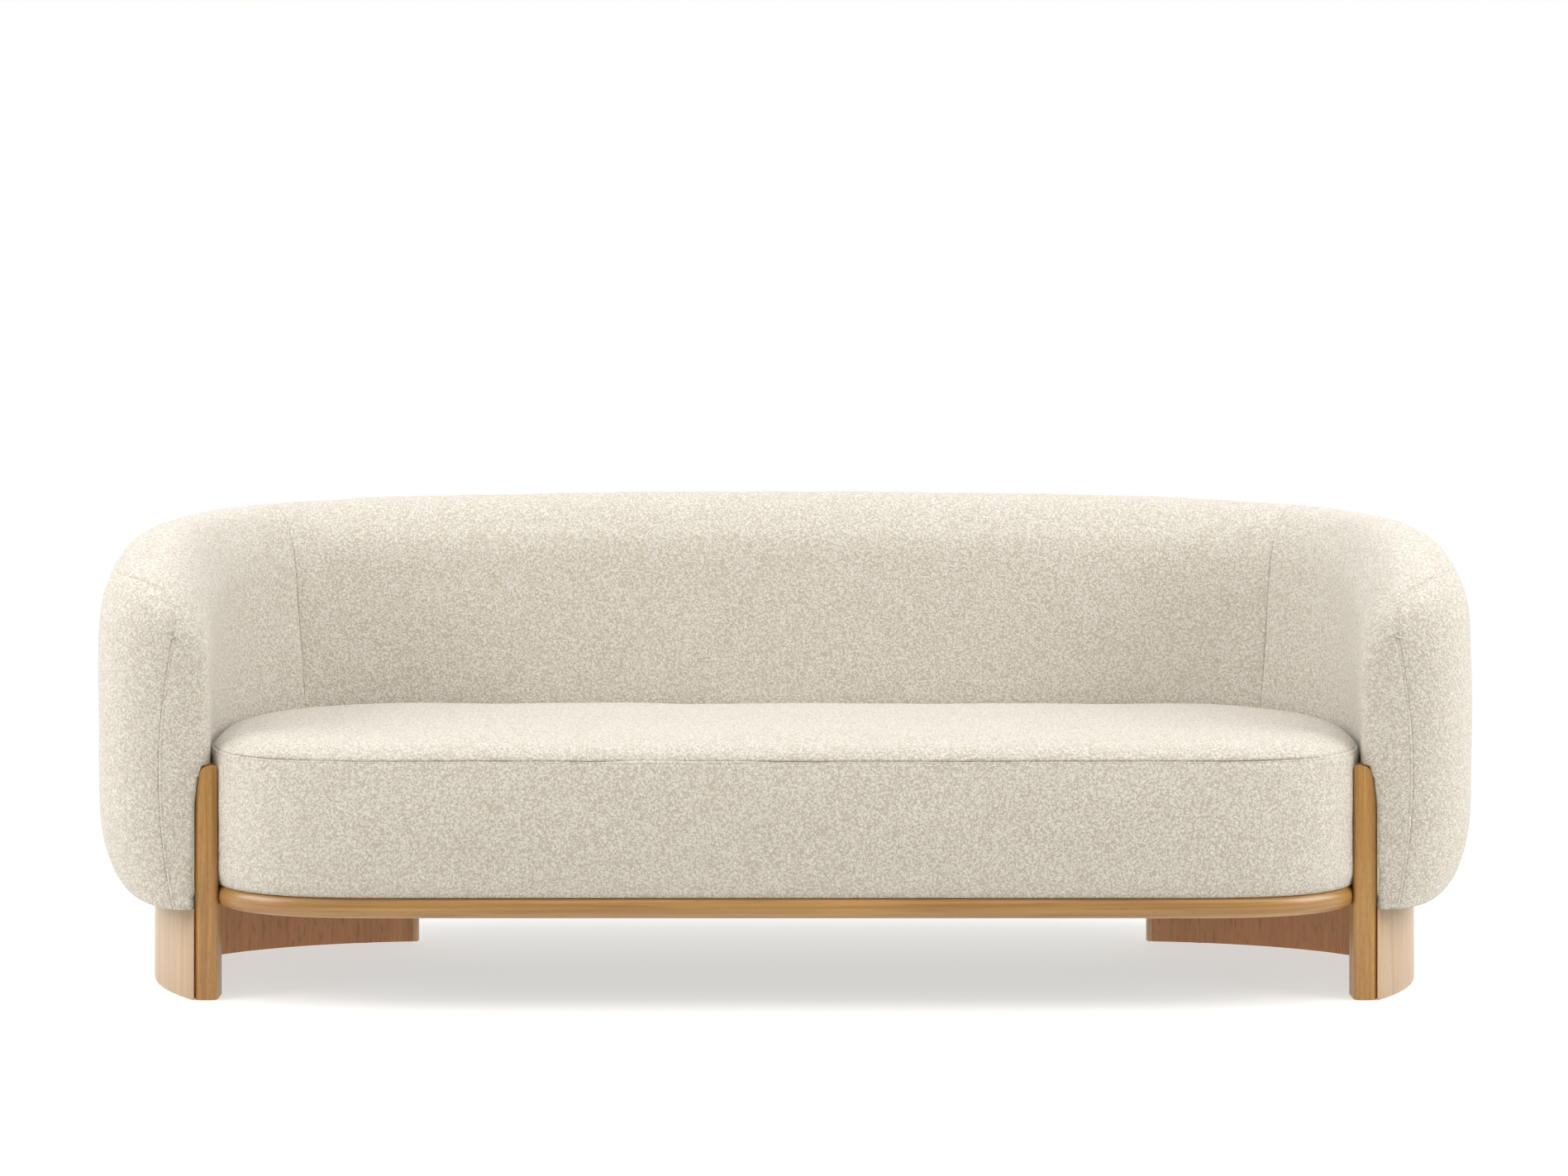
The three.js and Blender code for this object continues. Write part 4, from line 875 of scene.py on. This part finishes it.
# Every CAD node gets its slot's material, and the woods that show get eased edges
SLOTS = {p["node"]: p["material_slot"] for p in frame["record"]["subparts"]}
for name, node in frame["nodes"].items():
    node.data.materials.clear()
    node.data.materials.append(MATERIALS[SLOTS[name]])
for name in ("left_front_post", "right_front_post", "left_leg_panel", "right_leg_panel",
             "left_rear_lipping", "right_rear_lipping"):
    smooth_node(frame["nodes"][name])


# Upholstery
def add_cover(name, points, fill, **how):
    piece = grid_mesh(name + "_fabric", points, FABRIC, **how)
    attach(piece, "root")
    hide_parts(name + "_cover")


SHELL_FILL = 0.85
SEAT_FILL = 0.8
for side, word in ((1, "right"), (-1, "left")):
    for part in ("inner", "outer"):
        add_cover(f"{word}_{part}_arm", arm_cover(part, word, side), SHELL_FILL, flip=side < 0)
for part in ("inner", "outer"):
    add_cover(f"{part}_back", back_cover(part), SHELL_FILL)
seat_line = oval_line(**SEAT_LINE)
add_cover("seat_band", seat_band(seat_line), SEAT_FILL, wrap=True)
add_cover("seat_top", seat_top(seat_line), SEAT_FILL, wrap=True)

# The bowed rail with its rounded nose and the grain along it
points, uv = rail_points()
rail = grid_mesh("bowed_front_rail", points, RAIL_WOOD, uv=uv)
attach(rail, "root")
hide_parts("front_rail")

# Floor: pale near the sofa, and further out it fades into the white of the studio; sizes in metres
FLOOR_SIZE = 16
FLOOR_FADE = (1.5, 3.8)
FLOOR_TONES = [(0.3, (0.46, 0.46, 0.46)), (0.7, (0.48, 0.48, 0.48))]
FLOOR_GLOW = 0.60
bpy.ops.mesh.primitive_plane_add(size=FLOOR_SIZE, location=(0, 0, 0))
floor = bpy.context.object
floor.name = "floor"
paper = Nodes(bpy.data.materials.new("pale_floor"))
speck = paper.noise(paper.coords.outputs["Object"], 40, detail=3)
away = paper.vector_math("LENGTH", paper.coords.outputs["Object"])
floor.data.materials.append(paper.finish(
    Base_Color=paper.ramp(speck, FLOOR_TONES), Roughness=0.9, Alpha=paper.span(away, *FLOOR_FADE, 1, 0),
    Emission_Color=(1, 0.99, 0.97), Emission_Strength=FLOOR_GLOW))

# The studio is bright behind, above and at the sides, dimmer and warmer in front, and white to the camera
STUDIO = ((0.0, (0.31, 0.27, 0.175)), (0.125, (0.60, 0.56, 0.47)), (0.35, (0.75, 0.73, 0.69)),
          (0.95, (0.82, 0.82, 0.82)))
world = bpy.data.worlds.new("studio")
bpy.context.scene.world = world
studio = Nodes(world)
split = studio.add("SeparateXYZ")
studio.feed(split.inputs[0], studio.coords.outputs["Generated"])
sky = studio.tree.nodes["Background"]
studio.feed(sky.inputs[0], studio.ramp(studio.span(split.outputs["Y"], -1, 1), STUDIO))
backdrop = studio.add("Background")
studio.feed(backdrop.inputs[0], (1, 1, 1))
either = studio.add("MixShader")
for socket, value in zip(either.inputs, (studio.add("LightPath").outputs["Is Camera Ray"], sky.outputs[0],
                                         backdrop.outputs[0])):
    studio.feed(socket, value)
studio.feed(studio.tree.nodes["World Output"].inputs[0], either.outputs[0])


def softbox(name, at, target, size, power, tint):
    data = bpy.data.lights.new(name, "AREA")
    data.shape = "RECTANGLE"
    data.size, data.size_y = size
    data.energy = power
    data.color = tint
    lamp = bpy.data.objects.new(name, data)
    lamp.location = at
    lamp.rotation_euler = (Vector(target) - Vector(at)).to_track_quat("-Z", "Y").to_euler()
    bpy.context.scene.collection.objects.link(lamp)


# Softboxes: places and sizes in metres, power in watts
softbox("overhead", (0, -0.5, 3.2), (0, 0.0, 0.3), (6.0, 3.6), 90, (0.93, 0.955, 1.0))
for word, side in (("left_side", -1), ("right_side", 1)):
    softbox(word, (side * 3.2, -0.9, 2.0), (0, 0, 0.5), (2.2, 1.8), 66, (0.97, 0.98, 1.0))
